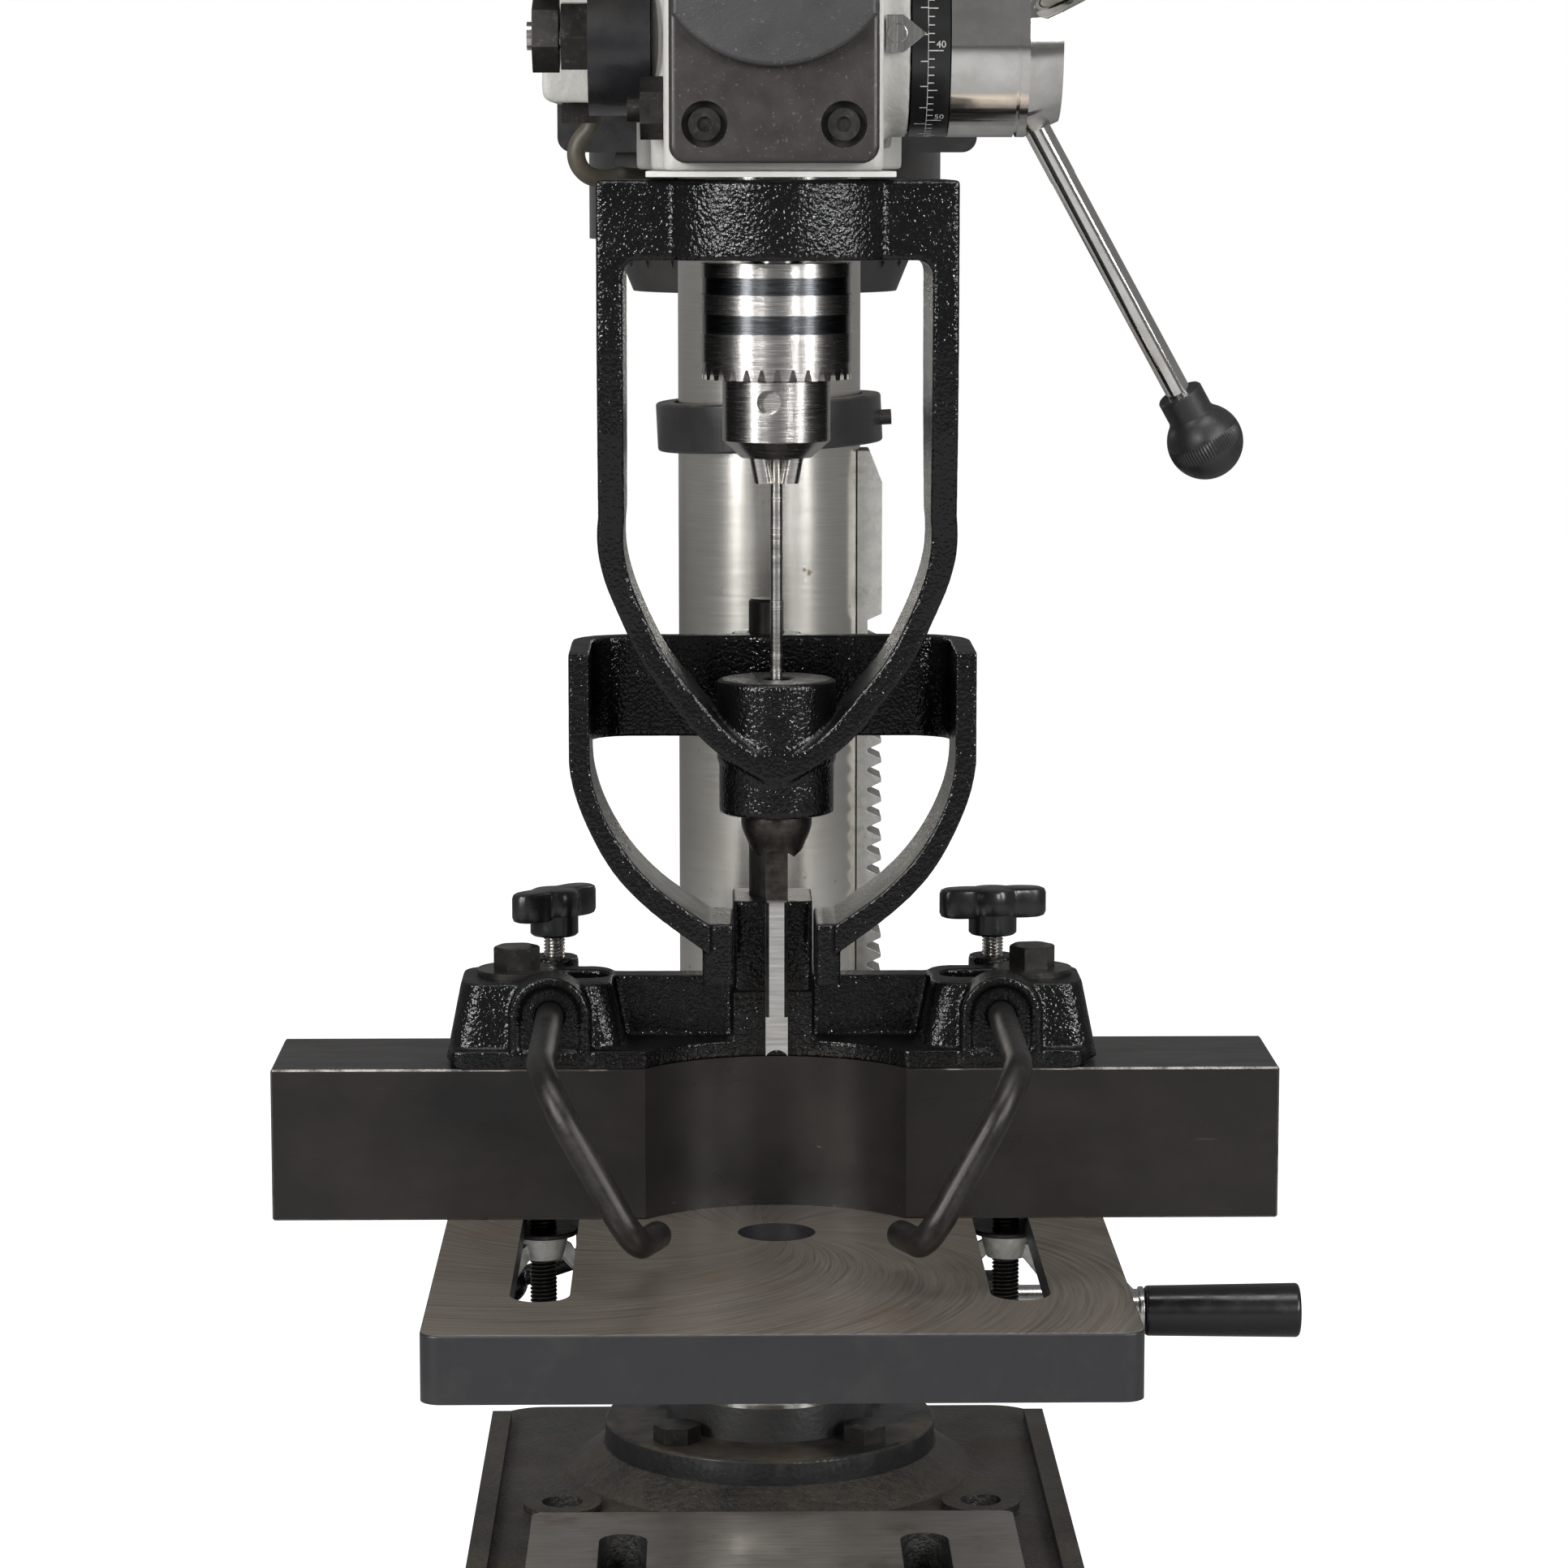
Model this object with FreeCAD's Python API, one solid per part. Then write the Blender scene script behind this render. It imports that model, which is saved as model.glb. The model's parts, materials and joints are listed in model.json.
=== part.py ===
import FreeCAD, Part
import math
import os

# Bench drill press with a square-chisel mortising attachment.
# Frame: origin on the bench plane under the column axis, +X right, +Y to the back, +Z up. Millimetres.

V = FreeCAD.Vector

# Driving dimensions
COLUMN_R = 36.0
COLUMN_BORE_R = 31.0
COLUMN_TOP = 660.0
SPINDLE_Y = -200.0
MOTOR_Y = 145.0
FEED_Y = -167.0
FEED_Z = 606.6
QUILL_R = 25.0
RUNNING_GAP = 0.06
SLIDING_GAP = 0.08
PRESSURE_ANGLE = math.radians(25.0)
BACKLASH = 0.3

BASE_FRONT = -272.0
BASE_BACK = 88.0
BASE_DECK = 36.0
PEDESTAL_TOP = 46.0
FLANGE_PCD = 106.0
FLANGE_TOP = 56.0
FLANGE_NECK_TOP = 69.0
BENCH_BOLT_X = 82.5
BENCH_BOLT_Y = -64.0
BENCH_BOLT_R = 8.0
PAD_SLOT_X = 57.4
PAD_SLOT_WIDTH = 18.3

TABLE_TOP = 180.0
TABLE_FRONT = -344.0
TABLE_BACK = -96.0
TABLE_SKIRT = 23.5
TABLE_PLATE = 10.0
TABLE_SLOT_X = 82.0
TABLE_SLOT_WIDTH = 20.5
TILT_Z = 132.0
TILT_BOSS_R = 24.0
STUD_X = 86.0
STUD_Y = -150.0

RACK_MODULE = 2.5
RACK_TIP_X = 44.4
LIFT_Z = 130.0
CRANK_Z = 104.6
CRANK_REACH = 73.0
PINION_TEETH = 12
FEED_MODULE = 2.0
QUILL_RACK_TIP = 23.0

FENCE_HALF_LENGTH = 183.5
FENCE_FRONT = -180.0
FENCE_BACK = -120.0
FENCE_TOP = 236.0
RECESS_R = 60.5
RECESS_Y = -217.5
GUIDE_X = -2.5
GUIDE_FLANGE = 6.4
GUIDE_BOLT_X = 95.0
HOOK_X = 82.0
HOOK_Z = 255.5
HOOK_R = 5.0
KNOB_Y = -124.0
POST_X = -3.0
POST_Y = -143.0
POST_R = 6.35

HOLD_DOWN_X = -1.5
BLADE_WIDTH = 7.9
YOKE_TOP = 556.3
YOKE_BAND = 529.0

HEAD_BOTTOM = 559.3
HEAD_TOP = 672.0
GUARD_R = 90.0
GUARD_FRONT_Y = -190.0
GUARD_BACK_Y = 150.0
GUARD_SPLIT = 704.0
HINGE_Y = 245.5
GUARD_TOP = 744.0
PULLEY_Z = 678.0
PULLEY_STEP = 12.0
SPINDLE_STEPS = (54.0, 44.0, 34.0)
MOTOR_STEPS = (28.0, 38.0, 48.0)
MOTOR_R = 74.5
BAR_X = 73.0
BAR_Z = 612.0

LEVER_ANGLES = (-13.0, 107.0, 227.0)
LEVER_CONE = math.radians(61.0)
LEVER_LENGTH = 137.0
LEVER_ROOT_X = 92.0
LEVER_ROOT_R = 30.0

KNOB_REACH = 15.0
KNOB_ARM_R = 5.6
LEFT_KNOB_TURN = 48
RIGHT_KNOB_TURN = 8
LOCK_X = -71.7
LOCK_Y = -92.0
LEAD_R = 3.5
LEAD_ROUTE = (
    (-67.5, -52.0, 584.0),
    (-67.5, -52.0, 576.0),
    (-73.2, -52.0, 570.3),
    (-74.6, -52.0, 565.0),
    (-72.9, -51.0, 559.8),
    (-68.7, -48.5, 556.3),
    (-62.0, -41.0, 555.8),
    (-59.8, -24.0, 556.6),
    (-60.0, -4.0, 557.3),
    (-59.0, 15.0, 557.0),
    (-55.0, 31.0, 556.4),
    (-50.0, 46.0, 556.0),
    (-50.0, 60.3, 556.0),
)


def block(x0, x1, y0, y1, z0, z1):
    return Part.makeBox(x1 - x0, y1 - y0, z1 - z0, V(x0, y0, z0))


def rod_x(y, z, r, x0, x1):
    return Part.makeCylinder(r, x1 - x0, V(x0, y, z), V(1, 0, 0))


def rod_y(x, z, r, y0, y1):
    return Part.makeCylinder(r, y1 - y0, V(x, y0, z), V(0, 1, 0))


def rod_z(x, y, r, z0, z1):
    return Part.makeCylinder(r, z1 - z0, V(x, y, z0), V(0, 0, 1))


def rod_between(start, end, r):
    step = V(*end) - V(*start)
    return Part.makeCylinder(r, step.Length, V(*start), step)


def cone_z(x, y, r0, r1, z0, z1):
    return Part.makeCone(r0, r1, z1 - z0, V(x, y, z0), V(0, 0, 1))


def cone_x(y, z, r0, r1, x0, x1):
    return Part.makeCone(r0, r1, x1 - x0, V(x0, y, z), V(1, 0, 0))


def union(first, *others):
    return first.fuse(list(others)).removeSplitter()


def edges_along(shape, direction):
    axis = V(*direction)
    found = []
    for edge in shape.Edges:
        straight = isinstance(edge.Curve, (Part.Line, Part.LineSegment))
        if straight and abs(abs(edge.tangentAt(edge.FirstParameter).dot(axis)) - 1) < 1e-6:
            found.append(edge)
    return found


def rounded_block(x0, x1, y0, y1, z0, z1, r, direction=(0, 0, 1)):
    solid = block(x0, x1, y0, y1, z0, z1)
    return solid.makeFillet(r, edges_along(solid, direction))


def soften_top(solid, z, r):
    rim = [e for e in solid.Edges if all(abs(v.Z - z) < 1e-6 for v in e.Vertexes)]
    return solid.makeFillet(r, rim)


def prism(points, direction):
    wire = Part.makePolygon([V(*p) for p in points] + [V(*points[0])])
    return Part.Face(wire).extrude(V(*direction))


def hexagon_z(x, y, across_flats, z0, z1, turn=0.0):
    corner = across_flats / math.sqrt(3)
    angles = [math.radians(60 * i + turn) for i in range(6)]
    points = [(x + corner * math.cos(a), y + corner * math.sin(a), z0) for a in angles]
    body = prism(points, (0, 0, z1 - z0))
    dome = cone_z(x, y, corner + (z1 - z0) * 1.2, corner * 0.93, z0, z1)
    return body.common(dome)


def hexagon_x(y, z, across_flats, x0, x1, turn=0.0):
    corner = across_flats / math.sqrt(3)
    angles = [math.radians(60 * i + turn) for i in range(6)]
    points = [(x0, y + corner * math.cos(a), z + corner * math.sin(a)) for a in angles]
    return prism(points, (x1 - x0, 0, 0))


def stadium(r, y0, y1, z0, z1):
    middle = block(-r, r, y0, y1, z0, z1)
    return union(middle, rod_z(0, y0, r, z0, z1), rod_z(0, y1, r, z0, z1))


def spline_edge(points):
    curve = Part.BSplineCurve()
    curve.interpolate([V(*p) for p in points])
    return curve.toShape()


def line_edge(a, b):
    return Part.makeLine(V(*a), V(*b))


def bent_path(points, radii):
    """Straight runs joined by tangent arcs, one radius for each inner point."""
    edges = []
    start = V(*points[0])
    for i in range(1, len(points) - 1):
        corner = V(*points[i])
        back = (V(*points[i - 1]) - corner).normalize()
        ahead = (V(*points[i + 1]) - corner).normalize()
        half_turn = (math.pi - back.getAngle(ahead)) / 2
        reach = radii[i - 1] * math.tan(half_turn)
        enter = corner + back * reach
        leave = corner + ahead * reach
        inward = (back + ahead).normalize()
        middle = corner + inward * (radii[i - 1] / math.cos(half_turn) - radii[i - 1])
        edges.append(Part.makeLine(start, enter))
        edges.append(Part.Arc(enter, middle, leave).toShape())
        start = leave
    edges.append(Part.makeLine(start, V(*points[-1])))
    return Part.Wire(edges)


def tube_along(points, radii, r):
    path = bent_path(points, radii)
    start = V(*points[0])
    direction = V(*points[1]) - start
    section = Part.Wire(Part.makeCircle(r, start, direction))
    return path.makePipeShell([section], True, False)


def cord_radii(points):
    radii = []
    for i in range(1, len(points) - 1):
        before = V(*points[i]) - V(*points[i - 1])
        after = V(*points[i + 1]) - V(*points[i])
        turn = before.getAngle(after)
        radii.append(0.45 * min(before.Length, after.Length) / math.tan(turn / 2))
    return radii


def involute_gear(module, teeth, root_r, tip_r, length):
    """Spur gear about +Z at the origin, with a tooth gap centred on -X."""
    pitch_r = module * teeth / 2
    base_r = pitch_r * math.cos(PRESSURE_ANGLE)
    thin = BACKLASH / 2 / pitch_r
    half_tooth = math.pi / (2 * teeth) + math.tan(PRESSURE_ANGLE) - PRESSURE_ANGLE - thin
    points = []
    flank_steps = 6
    start_r = max(base_r, root_r)
    for tooth in range(teeth):
        centre = math.pi + math.pi / teeth + 2 * math.pi * tooth / teeth
        flank = []
        for i in range(flank_steps):
            r = start_r + (tip_r - start_r) * i / (flank_steps - 1)
            roll = math.acos(base_r / r)
            flank.append((r, half_tooth - (math.tan(roll) - roll)))
        root_half = flank[0][1]
        points.append((root_r, centre - root_half))
        points += [(r, centre - half) for r, half in flank]
        points += [(r, centre + half) for r, half in reversed(flank)]
        points.append((root_r, centre + root_half))
    corners = [(r * math.cos(a), r * math.sin(a), 0) for r, a in points]
    return prism(corners, (0, 0, length))


def rack_teeth_outline(module, tip, centre, first, last, addendum_cut):
    """Outline points (depth, height) of a rack whose teeth point along +depth, one tooth centred at centre."""
    pitch = math.pi * module
    line = tip - module
    root = line - addendum_cut
    slope = math.tan(PRESSURE_ANGLE)
    half = pitch / 4 - BACKLASH / 4
    points = []
    for k in range(math.ceil((first - centre) / pitch), math.floor((last - centre) / pitch) + 1):
        z = centre + k * pitch
        tip_half = half - module * slope
        root_half = half + addendum_cut * slope
        points += [(root, z - root_half), (tip, z - tip_half), (tip, z + tip_half), (root, z + root_half)]
    return points


def polar_copies(make, angles, x, y):
    solids = []
    for angle in angles:
        solid = make()
        solid.rotate(V(x, y, 0), V(0, 0, 1), angle)
        solids.append(solid)
    return solids


# ---------------------------------------------------------------- base and column

def base_casting():
    foot = rounded_block(-120, 120, BASE_FRONT, BASE_BACK, 0, 10, 26)
    body = rounded_block(-116, 116, BASE_FRONT + 4, BASE_BACK - 4, 10, BASE_DECK, 22)
    pedestal = cone_z(0, 0, 82, 68, BASE_DECK, PEDESTAL_TOP)
    rims = [block(s - 4, s + 4, -236, 62, BASE_DECK, 40.5) for s in (-112, 112)]
    pad = rounded_block(-93.5, 93.5, -262, -88.5, BASE_DECK, 42, 4)
    bosses = [rod_z(s * BENCH_BOLT_X, BENCH_BOLT_Y, 15.4, BASE_DECK, 39) for s in (-1, 1)]
    solid = union(foot, body, pedestal, pad, *rims, *bosses)
    hollow = rounded_block(-108, 108, BASE_FRONT + 12, BASE_BACK - 12, 0, 24, 14)
    hub = rod_z(0, 0, 60, 0, 24)
    posts = [rod_z(s * BENCH_BOLT_X, BENCH_BOLT_Y, 17, 0, 24) for s in (-1, 1)]
    ribs = [block(-4, 4, BASE_FRONT, -40, 0, 24), block(-110, 110, -98, -90, 0, 24)]
    solid = solid.cut(hollow.cut([hub] + posts + ribs))
    for s in (-1, 1):
        solid = solid.cut(rod_z(s * BENCH_BOLT_X, BENCH_BOLT_Y, BENCH_BOLT_R, -1, 60))
        half = PAD_SLOT_WIDTH / 2
        slot = rounded_block(s * PAD_SLOT_X - half, s * PAD_SLOT_X + half, -236, -117, -1, 60, half - 0.01)
        solid = solid.cut(slot)
    holes = flange_circle(lambda: rod_z(FLANGE_PCD / 2, 0, 5, 22, 60))
    return solid.cut(holes)


def flange_circle(make):
    return polar_copies(make, (45, 135, 225, 315), 0, 0)


def column_flange():
    plate = rod_z(0, 0, 67, PEDESTAL_TOP, FLANGE_TOP)
    neck = cone_z(0, 0, 42, 39.5, FLANGE_TOP, FLANGE_NECK_TOP)
    solid = union(plate, neck)
    solid = solid.cut(rod_z(0, 0, COLUMN_R, 0, 100))
    solid = solid.cut(flange_circle(lambda: rod_z(FLANGE_PCD / 2, 0, 5.5, 40, 60)))
    rim = [e for e in solid.Edges if e.BoundBox.XLength > 130 and abs(e.BoundBox.ZMin - FLANGE_TOP) < 1e-6]
    return solid.makeFillet(1.5, rim)


def flange_bolts():
    def bolt():
        head = hexagon_z(FLANGE_PCD / 2, 0, 16.5, FLANGE_TOP, 62.6, 12)
        return union(head, rod_z(FLANGE_PCD / 2, 0, 5, 24, FLANGE_TOP))
    return Part.makeCompound(flange_circle(bolt))


def column_tube():
    return rod_z(0, 0, COLUMN_R, PEDESTAL_TOP, COLUMN_TOP).cut(rod_z(0, 0, COLUMN_BORE_R, 0, 700))


def rack_collar():
    ring = rod_z(0, 0, 44.5, 451, 470).cut(rod_z(0, 0, 37.3, 440, 480))
    ring = ring.makeFillet(1.2, [e for e in ring.Edges if e.BoundBox.XLength > 88])
    screw = rod_x(-8, 460.5, 3, 36.9, 48)
    ring = ring.cut(screw)
    screw = screw.cut(hexagon_x(-8, 460.5, 3.2, 44.5, 49))
    group = Part.makeCompound([ring, screw])
    group.rotate(V(0, 0, 460.5), V(0, 1, 0), -2.7)
    return group


def rack():
    top = 449.6
    bottom = 70.5
    outline = [(30, bottom), (RACK_TIP_X - 5.6, bottom)]
    outline += rack_teeth_outline(RACK_MODULE, RACK_TIP_X, LIFT_Z, 78, 379, 3.1)
    outline += [(RACK_TIP_X - 5.6, 382.5), (RACK_TIP_X, 385), (RACK_TIP_X, 437), (39.5, top), (30, top)]
    bar = prism([(x, -11, z) for x, z in outline], (0, 22, 0))
    return bar.cut(rod_z(0, 0, COLUMN_R + 0.3, 0, 500))


# ---------------------------------------------------------------- table and its lift

def table_bracket():
    sleeve = rod_z(0, 0, 50, 100, 165)
    tilt_boss = rod_y(0, TILT_Z, TILT_BOSS_R, -99.7, -40)
    ears = rounded_block(-78, -40, -15, 15, 112, 152, 5, (0, 1, 0))
    gearbox = rounded_block(38, 80, -17, 17, 88, 152, 6, (0, 1, 0))
    bearing = rod_x(0, CRANK_Z, 11, 78, 98)
    solid = union(sleeve, tilt_boss, ears, gearbox, bearing)
    rack_slot = block(30, RACK_TIP_X + 0.4, -11.4, 11.4, 0, 300)
    wheel = rod_y(wheel_x(), LIFT_Z, 18.2, -8.2, 8.2)
    wheel_shaft = rod_y(wheel_x(), LIFT_Z, 4 + RUNNING_GAP, -40, 40)
    worm = rod_x(0, CRANK_Z, 8.2, 46, 72.3)
    worm_shaft = rod_x(0, CRANK_Z, 5 + RUNNING_GAP, 60, 120)
    split = block(-90, -30, -1.5, 1.5, 90, 170)
    clamp_bolt = rod_y(-64, TILT_Z, 5 + RUNNING_GAP, -40, 40)
    tilt_thread = rod_y(0, TILT_Z, 7, -130, -38)
    column = rod_z(0, 0, COLUMN_R + SLIDING_GAP, 0, 300)
    return solid.cut([rack_slot, wheel, wheel_shaft, worm, worm_shaft, split, clamp_bolt, tilt_thread,
                      column])


def wheel_x():
    return RACK_TIP_X - RACK_MODULE + RACK_MODULE * PINION_TEETH / 2


def tilt_bolt():
    head = hexagon_z(0, 0, 22, 0, 9).cut(rod_z(0, 0, 0.5, -1, 0))
    head.rotate(V(0, 0, 0), V(1, 0, 0), 90)
    head.translate(V(0, -120.4, TILT_Z))
    return union(head, rod_y(0, TILT_Z, 7, -120.4, -56))


def clamp_lever():
    bolt = rod_y(-64, TILT_Z, 5, -30, 24)
    hub = rod_y(-64, TILT_Z, 9, -32, -15.4)
    end_nut = rod_y(-64, TILT_Z, 9, 15.4, 23)
    arm = rod_between((-64, -25, TILT_Z), (-106, -25, TILT_Z - 14), 4)
    ball = Part.makeSphere(9, V(-106, -25, TILT_Z - 14), V(-42, 0, -14))
    return union(bolt, hub, end_nut, arm, ball)


def lift_pinion():
    gear = involute_gear(RACK_MODULE, PINION_TEETH, 11.7, 17.3, 15)
    gear.rotate(V(0, 0, 0), V(1, 0, 0), 90)
    gear.translate(V(wheel_x(), 7.5, LIFT_Z))
    return union(gear, rod_y(wheel_x(), LIFT_Z, 4, -16.5, 16.5))


def crank():
    worm = rod_x(0, CRANK_Z, 7.6, 48, 72)
    for i in range(5):
        x = 51 + 4.4 * i
        groove = rod_x(0, CRANK_Z, 9, x, x + 2.2).cut(rod_x(0, CRANK_Z, 5.8, x, x + 2.2))
        worm = worm.cut(groove)
    shaft = rod_x(0, CRANK_Z, 5, 60, 143)
    hub = rod_x(0, CRANK_Z, 11, 133, 143)
    grip_end = rod_x(-CRANK_REACH, CRANK_Z + 13, 8.5, 135, 143)
    arm = prism([(135, -1.5, CRANK_Z + 9), (135, -1, CRANK_Z - 8),
                 (135, -CRANK_REACH, CRANK_Z + 6), (135, -CRANK_REACH, CRANK_Z + 20)], (8, 0, 0))
    washer = rod_x(-CRANK_REACH, CRANK_Z + 13, 9.5, 143, 145)
    pin = rod_x(-CRANK_REACH, CRANK_Z + 13, 4, 145, 199)
    pin_head = rod_x(-CRANK_REACH, CRANK_Z + 13, 6.5, 199, 202)
    return union(worm, shaft, hub, arm, grip_end, washer, pin, pin_head)


def crank_grip():
    y = -CRANK_REACH
    z = CRANK_Z + 13
    grip = cone_x(y, z, 9.8, 10.6, 145.4, 206)
    grip = grip.makeFillet(1.6, [e for e in grip.Edges if e.BoundBox.XLength < 0.01])
    inside = union(rod_x(y, z, 4 + RUNNING_GAP, 140, 199), rod_x(y, z, 6.8, 198.6, 202.4))
    return grip.cut(inside)


def table():
    plate = rounded_block(-120, 120, TABLE_FRONT, TABLE_BACK, TABLE_TOP - TABLE_SKIRT, TABLE_TOP, 7)
    plate = soften_top(plate, TABLE_TOP, 1.0)
    under = TABLE_TOP - TABLE_PLATE
    pocket = rounded_block(-111, 111, TABLE_FRONT + 9, TABLE_BACK - 9, 150, under, 8)
    hub = rod_z(0, SPINDLE_Y, 24, 150, under)
    ribs = [block(s * 40 - 3, s * 40 + 3, TABLE_FRONT, TABLE_BACK, 150, under) for s in (-1, 1)]
    ribs.append(block(-40, 40, -243, -237, 150, under))
    plate = plate.cut(pocket.cut([hub] + ribs))
    lug = union(rod_y(0, TILT_Z, TILT_BOSS_R, -120, -100),
                block(-TILT_BOSS_R, TILT_BOSS_R, -120, -100, TILT_Z, under))
    plate = union(plate, lug.cut(block(-60, 60, -200, 0, under, 300)))
    half = TABLE_SLOT_WIDTH / 2
    cuts = [rod_z(0, SPINDLE_Y, 14, 100, 200), rod_y(0, TILT_Z, 7 + RUNNING_GAP, -130, -90)]
    for s in (-1, 1):
        cuts.append(rounded_block(s * TABLE_SLOT_X - half, s * TABLE_SLOT_X + half, -300, -107, 100, 200,
                                  half - 0.01))
    return plate.cut(cuts)


# ---------------------------------------------------------------- fence, guide and hold-down

def fence():
    bar = block(-FENCE_HALF_LENGTH, FENCE_HALF_LENGTH, FENCE_FRONT, FENCE_BACK, TABLE_TOP, FENCE_TOP)
    bar = bar.makeChamfer(0.7, bar.Edges)
    recess = rod_z(0, RECESS_Y, RECESS_R, 100, 300)
    cuts = [recess]
    for s in (-1, 1):
        cuts.append(rod_z(s * STUD_X, STUD_Y, 5, 100, 206))
        cuts.append(rod_z(s * GUIDE_BOLT_X, STUD_Y, 5, 215, 300))
    cuts.append(rod_z(POST_X, POST_Y, POST_R + 1, 230, 260))
    return bar.cut(cuts)


def fence_studs():
    solids = []
    under = TABLE_TOP - TABLE_PLATE
    for s in (-1, 1):
        solids.append(rod_z(s * STUD_X, STUD_Y, 5, 141, 205))
        washer = rod_z(s * STUD_X, STUD_Y, 13, under - 2, under - 0.05)
        solids.append(washer.cut(rod_z(s * STUD_X, STUD_Y, 5, 100, 200)))
    return Part.makeCompound(solids)


def wing_nut(side):
    x = side * STUD_X
    y = STUD_Y
    top = TABLE_TOP - TABLE_PLATE - 2.3
    hub = cone_z(x, y, 7.2, 9.5, top - 9, top)
    wings = []
    for s in (-1, 1):
        wing = prism([(x + s * 6, y - 1.4, top - 1.5), (x + s * 12, y - 1.4, top - 5),
                      (x + s * 17.5, y - 1.4, top - 14),
                      (x + s * 13.5, y - 1.4, top - 15.5), (x + s * 6, y - 1.4, top - 7.5)], (0, 2.8, 0))
        wings.append(wing)
    solid = union(hub, *wings).cut(rod_z(x, y, 5 + RUNNING_GAP, 100, 200))
    solid.rotate(V(x, y, 0), V(0, 0, 1), 38 if side < 0 else -24)
    return solid


def guide_boss(side):
    """One frustum boss with an oval bolt slot, a front arch and a rear lug for the hook rod."""
    x = GUIDE_X / 2 + side * 86
    base = Part.makePolygon([V(x - 33, -177, FENCE_TOP + 2), V(x + 33, -177, FENCE_TOP + 2),
                             V(x + 33, -128, FENCE_TOP + 2), V(x - 33, -128, FENCE_TOP + 2),
                             V(x - 33, -177, FENCE_TOP + 2)])
    top = Part.makePolygon([V(x - 27.5, -173, 266), V(x + 27.5, -173, 266), V(x + 27.5, -134, 266),
                            V(x - 27.5, -134, 266), V(x - 27.5, -173, 266)])
    solid = Part.makeLoft([base, top], True)
    upright = [e for e in solid.Edges if e.BoundBox.ZLength > 10]
    solid = solid.makeFillet(9, upright)
    hook_x = side * HOOK_X
    arch = union(rod_y(hook_x, HOOK_Z, 14.5, -181.5, -165),
                 block(hook_x - 14.5, hook_x + 14.5, -181.5, -165, FENCE_TOP + 2, HOOK_Z))
    face = union(rod_y(hook_x, HOOK_Z, 11, -182, -179.6),
                 block(hook_x - 11, hook_x + 11, -182, -179.6, FENCE_TOP + GUIDE_FLANGE, HOOK_Z))
    lug = union(rod_y(hook_x, HOOK_Z, 10, -135, -114), rod_z(hook_x, KNOB_Y, 9, HOOK_Z, 268),
                block(hook_x - 10, hook_x + 10, -135, -121, FENCE_TOP + 2, HOOK_Z))
    return union(solid, arch.cut(face), lug)


def guide_casting():
    flange = block(-118.6, 113, FENCE_FRONT, -121, FENCE_TOP, FENCE_TOP + GUIDE_FLANGE)
    flange = flange.makeFillet(5, edges_along(flange, (0, 0, 1))[:])
    pillar = rounded_block(-15.5, 13.8, -162, -130, FENCE_TOP + 2, 294.5, 3)
    webs = [block(-62, -14, -150, -139, FENCE_TOP + 2, 265), block(12, 60, -150, -139, FENCE_TOP + 2, 265)]
    solid = union(flange, pillar, *webs, guide_boss(-1), guide_boss(1))
    cuts = [rod_z(0, RECESS_Y, RECESS_R, 200, FENCE_TOP + 25), rod_z(POST_X, POST_Y, POST_R, 238, 300)]
    for s in (-1, 1):
        cuts.append(rod_y(s * HOOK_X, HOOK_Z, HOOK_R + RUNNING_GAP, -200, -100))
        cuts.append(rod_z(s * HOOK_X, KNOB_Y, 4 + RUNNING_GAP, HOOK_Z, 300))
        near = s * 68.0
        far = s * (GUIDE_BOLT_X + 2)
        slot = rounded_block(min(near, far) - 7, max(near, far) + 7, -159, -143, 230, 300, 7.5)
        cuts.append(slot.cut(block(-200, 200, -200, -100, 200, FENCE_TOP)))
    return solid.cut(cuts)


def guide_bolts():
    solids = []
    for s in (-1, 1):
        x = s * GUIDE_BOLT_X
        washer = rod_z(x, STUD_Y - 1, 14.5, 266, 268.2)
        head = hexagon_z(x, STUD_Y, 14.8, 268.2, 276.2, 8)
        shank = rod_z(x, STUD_Y, 5, 217, 268.2)
        solids.append(union(washer, head, shank))
    return Part.makeCompound(solids)


def guide_post():
    post = rod_z(POST_X, POST_Y, POST_R, 239, 404)
    rim = [e for e in post.Edges if e.BoundBox.ZLength < 0.01 and e.BoundBox.ZMin > 400]
    return post.makeChamfer(1.0, rim)


def arch_plate(points, centre, y0, y1):
    """Symmetric plate below a level top edge. Its right side is (x, z) points: a straight, then a curve."""
    right = [(centre + x, y0, z) for x, z in points]
    left = [(centre - x, y0, z) for x, z in points]
    edges = [line_edge(left[0], right[0]), line_edge(right[0], right[1]), spline_edge(right[1:]),
             line_edge(right[-1], left[-1]), spline_edge(left[1:]), line_edge(left[1], left[0])]
    return Part.Face(Part.Wire(Part.__sortEdges__(edges))).extrude(V(0, y1 - y0, 0))


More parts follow.
